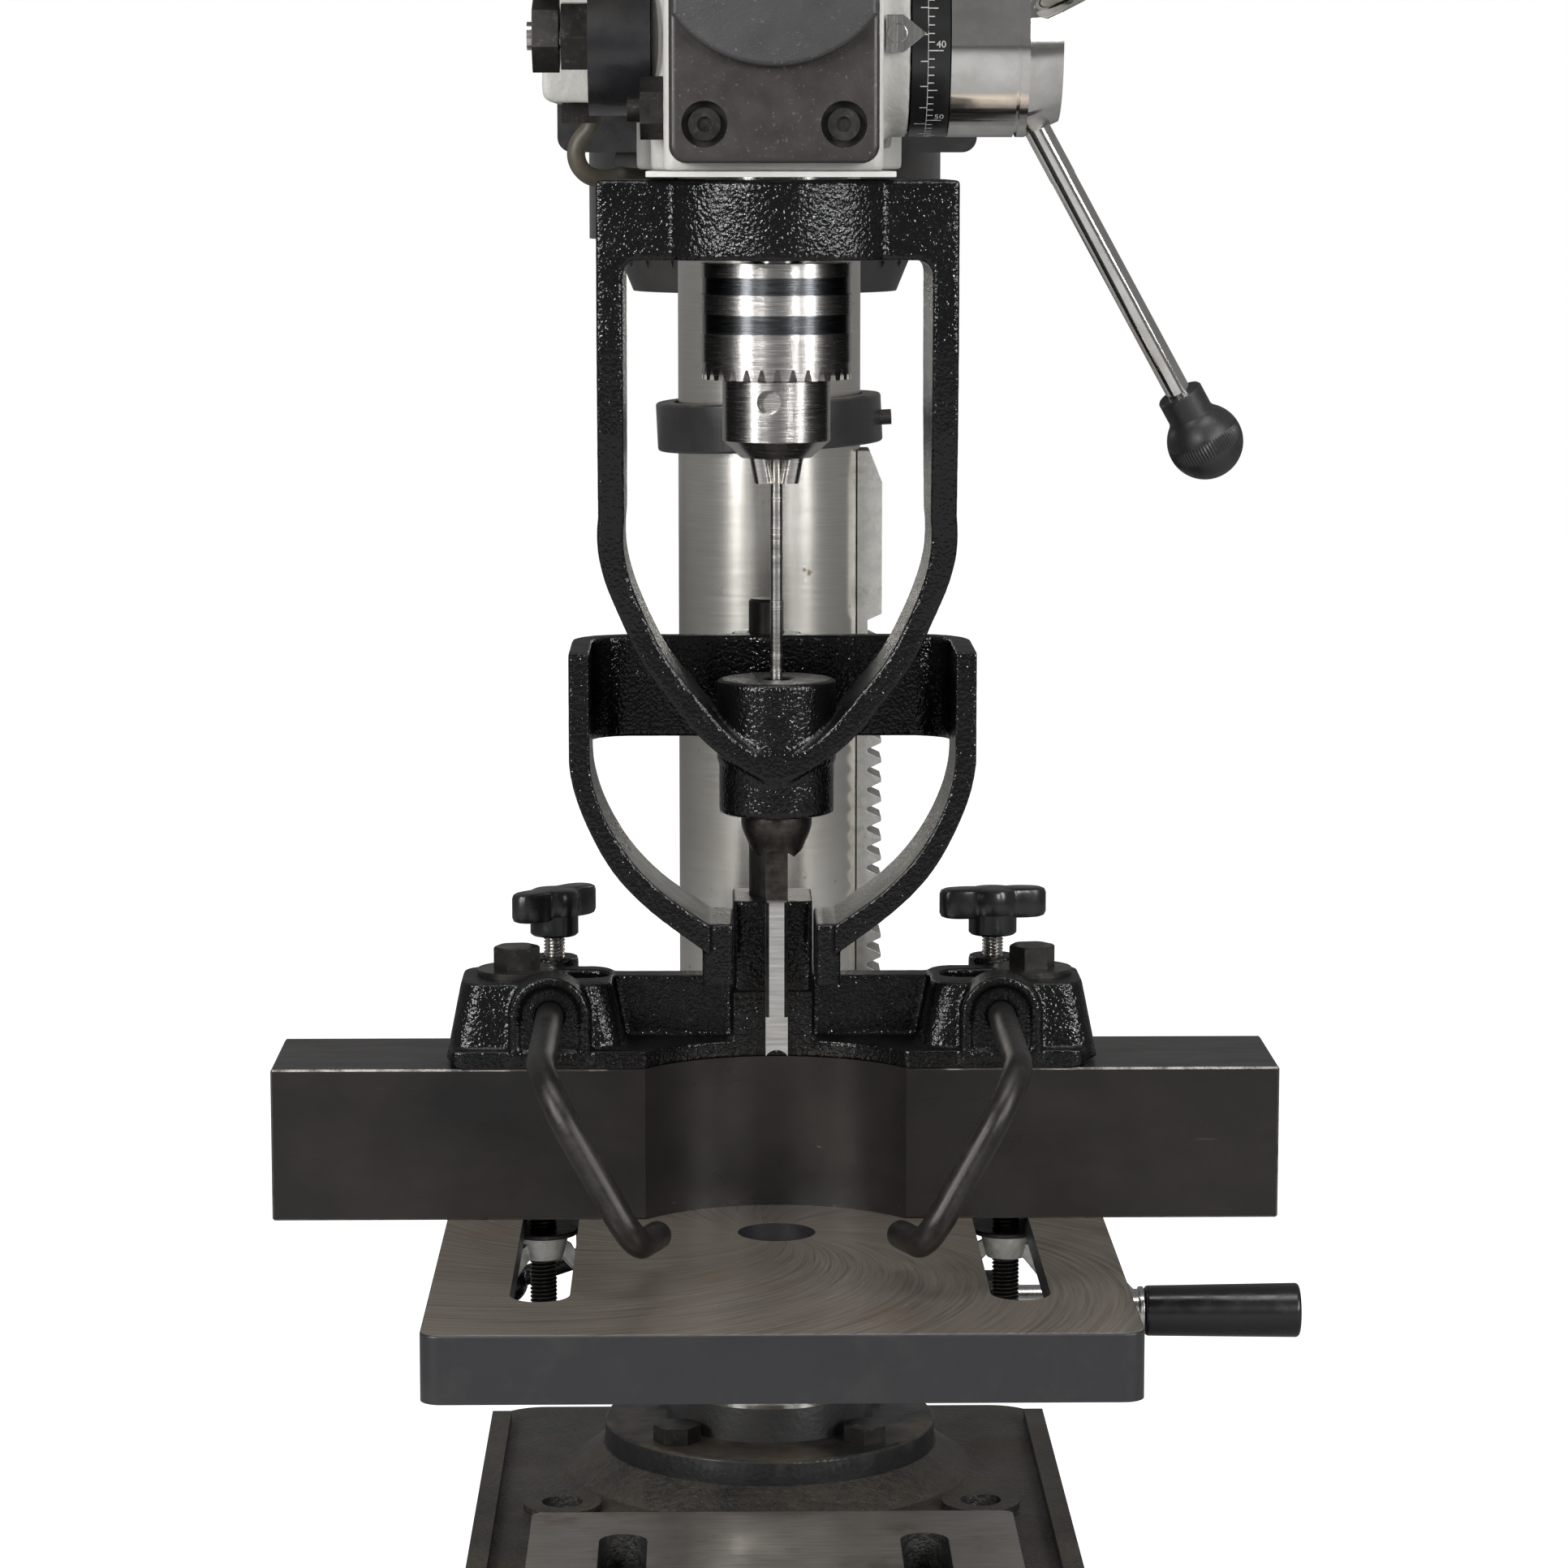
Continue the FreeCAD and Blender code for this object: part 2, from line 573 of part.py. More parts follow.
def hold_down():
    """Rear wall and side walls open to the front, two curved arms below, and a fork that straddles the chisel."""
    centre = HOLD_DOWN_X
    front = -212
    outer = [(72, 360), (72, 352), (70.5, 343), (65, 328), (56.5, 313), (45, 300.5), (33, 291), (22, 283)]
    inner = [(64.5, 361), (64.5, 355), (63, 343), (58, 330), (50.5, 318), (39, 306), (28, 298), (22, 294)]
    arms = arch_plate(outer, centre, front, -169).cut(arch_plate(inner, centre, front, -169))
    arms = arms.cut(block(centre - 22, centre + 22, -220, -160, 280, 300))
    band = rounded_block(centre - 72, centre + 72, front, -147.5, 354.5, 391.5, 21)
    band = union(band, block(centre - 72, centre + 72, front, -180, 354.5, 391.5))
    band = band.cut(rounded_block(centre - 64.5, centre + 64.5, -250, -155, 350, 400, 14))
    prongs = [rounded_block(-26.5, -15.2, -210, -171, 271.8, 294.2, 2),
              rounded_block(13.7, 22.7, -210, -171, 271.8, 294.2, 2)]
    boss = rod_z(POST_X, POST_Y, 13, 354.5, 391.5)
    solid = union(band, boss, arms, *prongs)
    return solid.cut([rod_z(POST_X, POST_Y, POST_R + SLIDING_GAP, 300, 420),
                      rod_y(POST_X, 373, 4 + RUNNING_GAP, -143, -100)])


def hold_down_lock():
    screw = rod_y(POST_X, 373, 4, -136, -118)
    return union(screw, lobed_knob_y(POST_X, 373, -118, -104))


def lobed_knob_y(x, z, y0, y1):
    knob = three_lobes(11.0, 7.5, y1 - y0)
    knob.rotate(V(0, 0, 0), V(1, 0, 0), -90)
    knob.translate(V(x, y0, z))
    return knob


def three_lobes(reach, lobe_r, height):
    hub = rod_z(0, 0, 9, 0, height)
    lobes = []
    for k in range(3):
        angle = math.radians(120 * k)
        x = reach * math.cos(angle)
        y = reach * math.sin(angle)
        arm = block(0, reach, -lobe_r, lobe_r, 0, height)
        arm.rotate(V(0, 0, 0), V(0, 0, 1), 120 * k)
        lobes += [arm, rod_z(x, y, lobe_r, 0, height)]
    return union(hub, *lobes)


def hook_rod(side):
    points = [(side * HOOK_X, -92, HOOK_Z), (side * HOOK_X, -289, HOOK_Z),
              (side * 49, -301, 199), (side * 42, -262, 194)]
    rod = tube_along(points, (26, 12), HOOK_R)
    ends = [e for e in rod.Edges if e.Closed and (e.BoundBox.YMin > -93 or e.BoundBox.YMax > -264)]
    return rod.makeFillet(1.5, [e for e in ends if e.BoundBox.YMin > -275])


def rod_knob(side):
    """Two-armed clamp knob on a round hub, with its screw pressing on the hook rod."""
    bar = union(block(-KNOB_REACH, KNOB_REACH, -KNOB_ARM_R, KNOB_ARM_R, 0, 11.5),
                rod_z(-KNOB_REACH, 0, KNOB_ARM_R, 0, 11.5), rod_z(KNOB_REACH, 0, KNOB_ARM_R, 0, 11.5),
                rod_z(0, 0, 9, 0, 11.5))
    bar = soften_top(bar, 11.5, 1.5)
    bar.rotate(V(0, 0, 0), V(0, 0, 1), LEFT_KNOB_TURN if side < 0 else RIGHT_KNOB_TURN)
    bar.translate(V(side * HOOK_X, KNOB_Y, 282.5))
    hub = rod_z(side * HOOK_X, KNOB_Y, 9, 276, 284)
    screw = rod_z(side * HOOK_X, KNOB_Y, 4, HOOK_Z + HOOK_R + 0.4, 280)
    return union(bar, hub, screw)


# ---------------------------------------------------------------- head

def head_casting():
    nose = rounded_block(-39, 36, -246, -160, HEAD_BOTTOM, HEAD_TOP, 5)
    middle = rounded_block(-44, 38, -188, -60, HEAD_BOTTOM, HEAD_TOP, 4)
    column_boss = rod_z(0, 0, 52, HEAD_BOTTOM, HEAD_TOP)
    neck = block(-44, 44, -110, -20, HEAD_BOTTOM + 8, HEAD_TOP)
    wings = rounded_block(-85, 85, -108, -40, 584, 640, 4, (0, 1, 0))
    feed_boss = rod_x(FEED_Y, FEED_Z, 35.5, 30, 47)
    solid = union(nose, middle, column_boss, neck, wings, feed_boss)
    cuts = [rod_z(0, SPINDLE_Y, QUILL_R + SLIDING_GAP, 500, 662),
            rod_z(0, SPINDLE_Y, 12 + RUNNING_GAP, 600, 700),
            rod_z(0, 0, COLUMN_R, 500, COLUMN_TOP),
            rod_x(FEED_Y, FEED_Z, 14.5, -11.4, 60),
            rod_x(FEED_Y, FEED_Z, 8 + RUNNING_GAP, -60, 0),
            rod_x(SPINDLE_Y, 581, 5, -60, -28),
            rod_z(LOCK_X, LOCK_Y, 4, 560, 605),
            rounded_block(-36, 30, -148, -60, HEAD_BOTTOM + 7, HEAD_TOP + 1, 4)]
    for s in (-1, 1):
        cuts.append(rod_y(s * BAR_X, BAR_Z, 7 + RUNNING_GAP, -120, 0))
        cuts.append(rod_y(-1.5 + s * 23.5, 575, 3, -250, -232))
    return solid.cut(cuts)


def head_bottom_plate():
    plate = block(-45, 40, -250, -62, 557.3, HEAD_BOTTOM)
    return plate.cut([rod_z(0, SPINDLE_Y, QUILL_R + 1.5, 500, 600)])


def front_cover():
    cover = rounded_block(-37, 34, -258, -246, 562, HEAD_TOP, 6, (0, 1, 0))
    cover = cover.makeFillet(2.2, [e for e in cover.Edges if abs(e.BoundBox.YMax + 258) < 1e-6])
    cuts = [block(-60, 60, -300, -200, HEAD_TOP - 3, 700)]
    for s in (-1, 1):
        x = -1.5 + s * 23.5
        cuts.append(rod_y(x, 575, 7.8, -260, -250))
        cuts.append(rod_y(x, 575, 3, -260, -240))
    return cover.cut(cuts)


def cover_screws():
    solids = []
    for s in (-1, 1):
        x = -1.5 + s * 23.5
        head = rod_y(x, 575, 5.5, -254.5, -250)
        socket = rod_y(x, 575, 2.6, -256, -252)
        solids.append(union(head, rod_y(x, 575, 3, -250, -234)).cut(socket))
    return Part.makeCompound(solids)


def switch_paddle():
    centre_x = -1.5
    centre_z = 637
    half = 34.5
    drop = math.sqrt(43 ** 2 - half ** 2)
    corners = [(centre_x - half, centre_z - drop), (centre_x + half, centre_z - drop),
               (centre_x + half, 664), (centre_x - half, 664)]
    left, right, top_right, top_left = [V(x, -265, z) for x, z in corners]
    edges = [Part.Arc(left, V(centre_x, -265, centre_z - 43), right).toShape(), Part.makeLine(right, top_right),
             Part.makeLine(top_right, top_left), Part.makeLine(top_left, left)]
    plate = Part.Face(Part.Wire(edges)).extrude(V(0, 6.7, 0))
    front = [e for e in plate.Edges if abs(e.BoundBox.YMax + 265) < 1e-3]
    return plate.makeFillet(1.8, front)


def depth_pointer():
    arrow = prism([(38, -207, 600), (44, -207, 600), (52, -207, FEED_Z), (44, -207, 613), (38, -207, 613)],
                  (0, 2.5, 0))
    foot = block(38.5, 46, -204.5, -198, 601, 612).cut(rod_x(FEED_Y, FEED_Z, 35.5, 30, 60))
    screw = rod_y(42, FEED_Z, 3.2, -209, -207)
    return union(arrow, foot, screw)


def spring_cap():
    shell = rod_x(FEED_Y, FEED_Z, 28, -66, -44).cut(rod_x(FEED_Y, FEED_Z, 25.5, -63, -44))
    shell = shell.cut(rod_x(FEED_Y, FEED_Z, 8.4, -70, -40))
    notches = []
    for k in range(3):
        notch = block(-52, -43, FEED_Y - 3.5, FEED_Y + 3.5, FEED_Z - 32, FEED_Z - 20)
        notch.rotate(V(0, FEED_Y, FEED_Z), V(1, 0, 0), 120 * k - 18)
        notches.append(notch)
    return shell.cut(notches)


def return_spring():
    """Flat spiral strip around the feed shaft, its outer end against the cap wall."""
    turns = 4.0
    steps = 96
    inner_r = 10.0
    outer_r = 24.6
    strip = 1.2
    inside = []
    outside = []
    for i in range(steps + 1):
        angle = 2 * math.pi * turns * i / steps
        r = inner_r + (outer_r - inner_r) * i / steps
        inside.append((-61, FEED_Y + r * math.cos(angle), FEED_Z + r * math.sin(angle)))
        r += strip
        outside.append((-61, FEED_Y + r * math.cos(angle), FEED_Z + r * math.sin(angle)))
    return prism(inside + outside[::-1], (13, 0, 0)).common(rod_x(FEED_Y, FEED_Z, 25.4, -70, -40))


def jam_nuts():
    nuts = []
    for x0, turn in ((-75.8, 4), (-86, 18)):
        nut = hexagon_x(FEED_Y, FEED_Z, 23, x0, x0 + 9.6, turn)
        nuts.append(nut.cut(rod_x(FEED_Y, FEED_Z, 5, -100, 0)))
    return Part.makeCompound(nuts)


def head_studs():
    guide_nut = hexagon_x(SPINDLE_Y, 581, 19, -47.5, -39, 30)
    guide_stud = rod_x(SPINDLE_Y, 581, 5, -52, -28)
    lock_head = hexagon_z(LOCK_X, LOCK_Y, 11.5, 576.6, 584, 8)
    lock_screw = rod_z(LOCK_X, LOCK_Y, 4, 584, 604)
    return Part.makeCompound([union(guide_nut, guide_stud), union(lock_head, lock_screw)])


def pinion_shaft():
    gear = involute_gear(FEED_MODULE, PINION_TEETH, 9.3, 13.8, 22)
    gear.rotate(V(0, 0, 0), V(0, 1, 0), 90)
    gear.translate(V(-11, FEED_Y, FEED_Z))
    left = union(rod_x(FEED_Y, FEED_Z, 8, -66.2, -11), rod_x(FEED_Y, FEED_Z, 5, -88, -60))
    right = union(rod_x(FEED_Y, FEED_Z, 8, 11, 20), rod_x(FEED_Y, FEED_Z, 14.42, 18, 46.9),
                  rod_x(FEED_Y, FEED_Z, 9, 40, 96))
    return union(gear, left, right)


def feed_hub():
    collar = rod_x(FEED_Y, FEED_Z, 35.5, 61, 84.3)
    groove = rod_x(FEED_Y, FEED_Z, 34, 84.3, 85.5)
    lip = rod_x(FEED_Y, FEED_Z, 35.5, 85.5, 88.5)
    nose = cone_x(FEED_Y, FEED_Z, 35.5, 30, 88.5, 100.6)
    solid = union(collar, groove, lip, nose)
    sockets = [lever_rod(angle, 0, 8, 4.75) for angle in LEVER_ANGLES]
    return solid.cut([rod_x(FEED_Y, FEED_Z, 9, 0, 96)] + sockets)


def lever_point(angle, along):
    a = math.radians(angle)
    radial = LEVER_ROOT_R + along * math.sin(LEVER_CONE)
    x = LEVER_ROOT_X + along * math.cos(LEVER_CONE)
    return (x, FEED_Y - radial * math.sin(a), FEED_Z - radial * math.cos(a))


def lever_rod(angle, start, end, r):
    return rod_between(lever_point(angle, start), lever_point(angle, end), r)


def feed_levers():
    rods = []
    for angle in LEVER_ANGLES:
        root = lever_rod(angle, 0, 24, 4.75)
        rods.append(union(root, lever_rod(angle, 24, LEVER_LENGTH - 4, 4.6)))
    return Part.makeCompound(rods)


def lever_knobs():
    knobs = []
    for angle in LEVER_ANGLES:
        ball = Part.makeSphere(14, V(*lever_point(angle, LEVER_LENGTH)))
        collar = lever_rod(angle, LEVER_LENGTH - 21, LEVER_LENGTH - 8, 8.5)
        bore = lever_rod(angle, 60, LEVER_LENGTH - 4, 4.6)
        knobs.append(union(ball, collar).cut(bore))
    return Part.makeCompound(knobs)


def depth_ring():
    ring = rod_x(FEED_Y, FEED_Z, 35.3, 47.3, 60.6)
    return ring.cut(rod_x(FEED_Y, FEED_Z, 9 + RUNNING_GAP, 0, 100))


# ---------------------------------------------------------------- quill, spindle and mortising yoke

def quill():
    body = rod_z(0, SPINDLE_Y, QUILL_R, 529.5, 660)
    tip = SPINDLE_Y + QUILL_RACK_TIP
    centre = FEED_Z
    outline = rack_teeth_outline(FEED_MODULE, QUILL_RACK_TIP, centre, 590, 657, 2.5)
    root = QUILL_RACK_TIP - FEED_MODULE - 2.5
    points = [(root, 588)] + outline + [(root, 661), (40, 661), (40, 588)]
    gap = prism([(-7.5 - 4, SPINDLE_Y + d, z) for d, z in points], (23, 0, 0))
    flat = block(-11.5, 11.5, tip, tip + 10, 588, 661)
    bores = [rod_z(0, SPINDLE_Y, 20, 520, 543), rod_z(0, SPINDLE_Y, 12, 540, 650),
             rod_z(0, SPINDLE_Y, 15, 650, 661)]
    return body.cut([gap, flat] + bores)


def quill_bearings():
    lower = rod_z(0, SPINDLE_Y, 20, 531, 543).cut(rod_z(0, SPINDLE_Y, 8.4, 500, 700))
    upper = rod_z(0, SPINDLE_Y, 15, 650, 659).cut(rod_z(0, SPINDLE_Y, 8.05, 500, 700))
    return Part.makeCompound([lower, upper])


def yoke():
    """Clamp ring on the quill, two tapering arms that curve in below the chuck, and the chisel's boss."""
    outer = [(62.3, YOKE_TOP), (62.3, 440), (60, 417), (55, 404.6), (46.7, 387.7), (36.6, 374), (26.3, 361.6),
             (16.3, 353.6), (5, 347)]
    inner = [(53.1, YOKE_BAND), (53.1, 440), (51.5, 419), (45.5, 403.5), (37.8, 389), (27.4, 376), (19.5, 366.5),
             (5, 356)]
    window = arch_plate(inner, 0, -240, -160)
    corners = [e for e in edges_along(window, (0, 1, 0)) if abs(e.BoundBox.ZMin - YOKE_BAND) < 1e-6]
    frame = arch_plate(outer, 0, -240, -160).cut(window.makeFillet(5, corners))
    side = [(-70, -237, 560), (-70, -237, 500), (-70, -234, 470), (-70, -226, 431), (-70, -222, 400),
            (-70, -221.5, 330), (-70, -178.5, 330), (-70, -178, 400), (-70, -176, 431), (-70, -166, 470),
            (-70, -164, 500), (-70, -164, 560)]
    frame = frame.common(prism(side, (140, 0, 0)))
    boss = union(rod_z(0, SPINDLE_Y, 21.2, 352, 381), rod_z(0, SPINDLE_Y, 20.4, 333, 360))
    boss = soften_top(boss, 381, 1.2)
    solid = union(frame, rod_z(0, SPINDLE_Y, 52, YOKE_BAND, YOKE_TOP), boss)
    return solid.cut([rod_z(0, SPINDLE_Y, QUILL_R, 500, 570), rod_z(0, SPINDLE_Y, 5, 330, 400),
                      rod_z(0, SPINDLE_Y, 9.5, 300, 368)])


def mortise_chisel():
    """Round shank, a waist milled flat on four sides, and a hollow square blade with a wider cutting end."""
    shank = rod_z(0, SPINDLE_Y, 9.5, 331, 367.5)
    waist_side = [(12.3, 332.7), (12.1, 327), (9.6, 321), (7.4, 312), (5.2, 301)]
    points = [(x, SPINDLE_Y, z) for x, z in waist_side]
    edges = [line_edge((0, SPINDLE_Y, 332.7), points[0]), spline_edge(points),
             line_edge(points[-1], (0, SPINDLE_Y, 301)), line_edge((0, SPINDLE_Y, 301), (0, SPINDLE_Y, 332.7))]
    waist = Part.Face(Part.Wire(edges)).revolve(V(0, SPINDLE_Y, 0), V(0, 0, 1), 360)
    half = BLADE_WIDTH / 2
    flats = []
    for turn in range(0, 360, 90):
        arch = union(rod_y(0, 311.8, 8.6, SPINDLE_Y - 20, SPINDLE_Y - half),
                     block(-8.6, 8.6, SPINDLE_Y - 20, SPINDLE_Y - half, 290, 311.8))
        arch.rotate(V(0, SPINDLE_Y, 0), V(0, 0, 1), turn)
        flats.append(arch)
    lower = block(-half, half, SPINDLE_Y - half, SPINDLE_Y + half, 245.5, 259.5)
    upper = block(-half, half, SPINDLE_Y - half, SPINDLE_Y + half, 259.5, 303)
    upper = upper.makeChamfer(1.25, edges_along(upper, (0, 0, 1)))
    solid = union(shank, waist.cut(flats), lower, upper)
    scoops = [rod_y(0, 243.1, 4.5, SPINDLE_Y - 10, SPINDLE_Y + 10), rod_x(SPINDLE_Y, 243.1, 4.5, -10, 10)]
    return solid.cut(scoops + [rod_z(0, SPINDLE_Y, 2.9, 200, 400)])


def spindle():
    spline = rod_z(0, SPINDLE_Y, 8, 545, 716)
    nose = rod_z(0, SPINDLE_Y, 8.34, 528, 545)
    taper = rod_z(0, SPINDLE_Y, 9, 503, 528)
    keys = []
    for angle in range(0, 360, 60):
        key = block(6.6, 9, SPINDLE_Y - 1.4, SPINDLE_Y + 1.4, 663, 716)
        key.rotate(V(0, SPINDLE_Y, 0), V(0, 0, 1), angle)
        keys.append(key)
    return union(spline.cut(keys), nose, taper)


def chuck_body():
    shaft = rod_z(0, SPINDLE_Y, 19, 465.4, 527.5)
    nose = cone_z(0, SPINDLE_Y, 12.5, 19, 459.4, 465.4)
    solid = union(shaft, nose)
    cuts = [rod_z(0, SPINDLE_Y, 9, 503, 530), rod_z(0, SPINDLE_Y, 4, 450, 499)]
    for angle in (-9, 111, 231):
        hole = rod_y(0, 479.5, 4.2, SPINDLE_Y - 30, SPINDLE_Y - 13)
        hole.rotate(V(0, SPINDLE_Y, 0), V(0, 0, 1), angle)
        cuts.append(hole)
    cuts += [jaw_rod(angle, 3.45, 55) for angle in (60, 180, 300)]
    return solid.cut(cuts)


def jaw_rod(angle, r, length):
    lean = math.radians(12)
    start = V(0, SPINDLE_Y - 4.6, 448)
    direction = V(0, -math.sin(lean), math.cos(lean))
    rod = Part.makeCylinder(r, length, start, direction)
    rod.rotate(V(0, SPINDLE_Y, 0), V(0, 0, 1), angle)
    return rod


def chuck_jaws():
    jaws = []
    for angle in (60, 180, 300):
        jaw = jaw_rod(angle, 3.3, 36).cut(rod_z(0, SPINDLE_Y, 2.2, 400, 500))
        away = block(-30, 30, SPINDLE_Y + 1.4, SPINDLE_Y + 40, 400, 500)
        near = block(-30, 30, SPINDLE_Y - 1.4, SPINDLE_Y + 40, 400, 500)
        away.rotate(V(0, SPINDLE_Y, 0), V(0, 0, 1), angle)
        near.rotate(V(0, SPINDLE_Y, 0), V(0, 0, 1), angle)
        jaws.append(jaw.cut([away, near.cut(rod_z(0, SPINDLE_Y, 2.2, 400, 500)),
                             block(-40, 40, -260, -140, 440, 450.3)]))
    return Part.makeCompound(jaws)


def chuck_sleeve():
    bands = [rod_z(0, SPINDLE_Y, 26.2, 487, 493), rod_z(0, SPINDLE_Y, 26.5, 493, 503),
             rod_z(0, SPINDLE_Y, 26.0, 503, 509.6), rod_z(0, SPINDLE_Y, 26.5, 509.6, 516.8),
             rod_z(0, SPINDLE_Y, 26.0, 516.8, 522.6), rod_z(0, SPINDLE_Y, 26.5, 522.6, 527.5)]
    solid = union(bands[0], *bands[1:]).cut(rod_z(0, SPINDLE_Y, 19, 480, 530))
    notches = []
    for k in range(30):
        wedge = prism([(-1.7, SPINDLE_Y - 30, 486.5), (1.7, SPINDLE_Y - 30, 486.5), (0.5, SPINDLE_Y - 30, 491),
                       (-0.5, SPINDLE_Y - 30, 491)], (0, 9.5, 0))
        wedge.rotate(V(0, SPINDLE_Y, 0), V(0, 0, 1), 12 * k)
        notches.append(wedge)
    return solid.cut(notches)


def auger_bit():
    shank = rod_z(0, SPINDLE_Y, 2.2, 262, 498)
    flute = rod_z(0, SPINDLE_Y, 2.55, 249, 262)
    tip = cone_z(0, SPINDLE_Y, 0.4, 2.55, 246.2, 249)
    return union(shank, flute, tip)


# ---------------------------------------------------------------- belt drive and motor

def v_pulley(x, y, radii, bore):
    solids = []
    for i, r in enumerate(radii):
        z = PULLEY_Z + i * PULLEY_STEP
        solids.append(rod_z(x, y, r, z, z + PULLEY_STEP))
    solid = union(solids[0], *solids[1:])
    grooves = []
    for i, r in enumerate(radii):
        z = PULLEY_Z + i * PULLEY_STEP
        outline = [(r - 8.5, z + 3.6), (r + 1, z + 1.4), (r + 1, z + 10.6), (r - 8.5, z + 8.4)]
        wire = Part.makePolygon([V(x + d, y, h) for d, h in outline + outline[:1]])
        grooves.append(Part.Face(wire).revolve(V(x, y, 0), V(0, 0, 1), 360))
    return solid.cut(grooves + [rod_z(x, y, bore, 600, 800)])


def spindle_pulley():
    cone = v_pulley(0, SPINDLE_Y, SPINDLE_STEPS, 8 + SLIDING_GAP)
    sleeve = rod_z(0, SPINDLE_Y, 12, 663, PULLEY_Z).cut(rod_z(0, SPINDLE_Y, 8 + SLIDING_GAP, 600, 700))
    return union(cone, sleeve)


def motor_pulley():
    return v_pulley(0, MOTOR_Y, MOTOR_STEPS, 7)


def belt_outline(r_front, r_back, z0, z1):
    span = MOTOR_Y - SPINDLE_Y
    lean = math.asin((r_front - r_back) / span)
    c = math.cos(lean)
    s = math.sin(lean)
    front = [V(r_front * c, SPINDLE_Y + r_front * s, z0), V(0, SPINDLE_Y - r_front, z0),
             V(-r_front * c, SPINDLE_Y + r_front * s, z0)]
    back = [V(-r_back * c, MOTOR_Y + r_back * s, z0), V(0, MOTOR_Y + r_back, z0),
            V(r_back * c, MOTOR_Y + r_back * s, z0)]
    edges = [Part.Arc(*front).toShape(), Part.makeLine(front[2], back[0]), Part.Arc(*back).toShape(),
             Part.makeLine(back[2], front[0])]
    return Part.Face(Part.Wire(edges)).extrude(V(0, 0, z1 - z0))


def drive_belt():
    z = PULLEY_Z + PULLEY_STEP + 3.9
    outer = belt_outline(SPINDLE_STEPS[1] - 0.5, MOTOR_STEPS[1] - 0.5, z, z + 4.2)
    inner = belt_outline(SPINDLE_STEPS[1] - 7.5, MOTOR_STEPS[1] - 7.5, z, z + 4.2)
    return outer.cut(inner)


def belt_guard():
    tray = stadium(GUARD_R, GUARD_FRONT_Y, GUARD_BACK_Y, HEAD_TOP, GUARD_SPLIT)
    hollow = stadium(GUARD_R - 3, GUARD_FRONT_Y, GUARD_BACK_Y, HEAD_TOP + 3, GUARD_SPLIT + 1)
    lugs = [block(x, x + 12, 236, HINGE_Y + 5, GUARD_SPLIT - 12, GUARD_SPLIT + 4) for x in (-22, 10)]
    pin = rod_x(HINGE_Y, GUARD_SPLIT, 2.5, -22, 22)
    shaft_slot = union(rod_z(0, MOTOR_Y, 13, 660, 680), rod_z(0, MOTOR_Y - 6, 13, 660, 680),
                       block(-13, 13, MOTOR_Y - 6, MOTOR_Y, 660, 680))
    solid = union(tray.cut(hollow), *lugs)
    return union(solid.cut([shaft_slot, rod_z(0, SPINDLE_Y, 14, 660, 680)]), pin)


def belt_guard_lid():
    shell = stadium(GUARD_R + 0.6, GUARD_FRONT_Y, GUARD_BACK_Y, GUARD_SPLIT + 0.4, GUARD_TOP)
    shell = soften_top(shell, GUARD_TOP, 9)
    inside = stadium(GUARD_R - 2.4, GUARD_FRONT_Y, GUARD_BACK_Y, GUARD_SPLIT, GUARD_TOP - 3)
    inside = soften_top(inside, GUARD_TOP - 3, 6)
    knuckle = rod_x(HINGE_Y, GUARD_SPLIT, 5, -9.7, 9.7)
    web = block(-9.7, 9.7, 237.6, HINGE_Y + 2, GUARD_SPLIT + 1.5, GUARD_SPLIT + 12)
    relief = [block(x - 0.4, x + 12.4, 235, 252, GUARD_SPLIT, GUARD_SPLIT + 4.6) for x in (-22, 10)]
    knob = rod_y(0, 718, 9, GUARD_FRONT_Y - GUARD_R - 14, GUARD_FRONT_Y - GUARD_R - 4)
    stem = rod_y(0, 718, 4.5, GUARD_FRONT_Y - GUARD_R - 6, GUARD_FRONT_Y - GUARD_R + 1)
    solid = union(shell.cut(inside), knuckle, web, knob, stem)
    return solid.cut([rod_x(HINGE_Y, GUARD_SPLIT, 2.5 + RUNNING_GAP, -40, 40)] + relief)


def motor_mount():
    plate = rounded_block(-85, 85, 58, 68, 566, 648, 6, (0, 1, 0))
    holes = [rod_y(x, z, 4, 40, 80) for x in (-30, 30) for z in (575, 625)]
    bars = [rod_y(s * BAR_X, BAR_Z, 7, -104, 62) for s in (-1, 1)]
    return union(plate.cut(holes), *bars)


def motor_mount_bolts():
    solids = []
    for x in (-30, 30):
        for z in (575, 625):
            head = hexagon_z(0, 0, 13, 0, 5.3)
            head.rotate(V(0, 0, 0), V(1, 0, 0), 90)
            head.translate(V(x, 58, z))
            solids.append(union(head, rod_y(x, z, 4, 58, 80)))
    return Part.makeCompound(solids)


def motor_body():
    can = rod_z(0, MOTOR_Y, MOTOR_R, 530, 636)
    bottom = cone_z(0, MOTOR_Y, 56, 65, 508, 530)
    top = cone_z(0, MOTOR_Y, 66, 58, 636, 650)
    foot = block(-42, 42, 68, 90, 562, 640)
    gland = rod_y(-50, 556, 7, 60.3, 100)
    box = rounded_block(-62, -38, 68, 100, 545, 567, 3, (0, 1, 0))
    solid = union(can, bottom, top, foot, box, gland)
    fins = []
    for k in range(24):
        slot = block(-2.2, 2.2, MOTOR_Y + 60, MOTOR_Y + 72, 512, 524)
        slot.rotate(V(0, MOTOR_Y, 0), V(0, 0, 1), 15 * k + 7)
        fins.append(slot)
    holes = [rod_y(x, z, 4, 60, 80) for x in (-30, 30) for z in (575, 625)]
    winding_spaces = [rod_z(0, MOTOR_Y, 56, 536, 556), rod_z(0, MOTOR_Y, 56, 608, 630)]
    return solid.cut(fins + holes + winding_spaces + [rod_z(0, MOTOR_Y, 7 + RUNNING_GAP, 600, 700),
                                                      rod_z(0, MOTOR_Y, 30, 540, 620)])


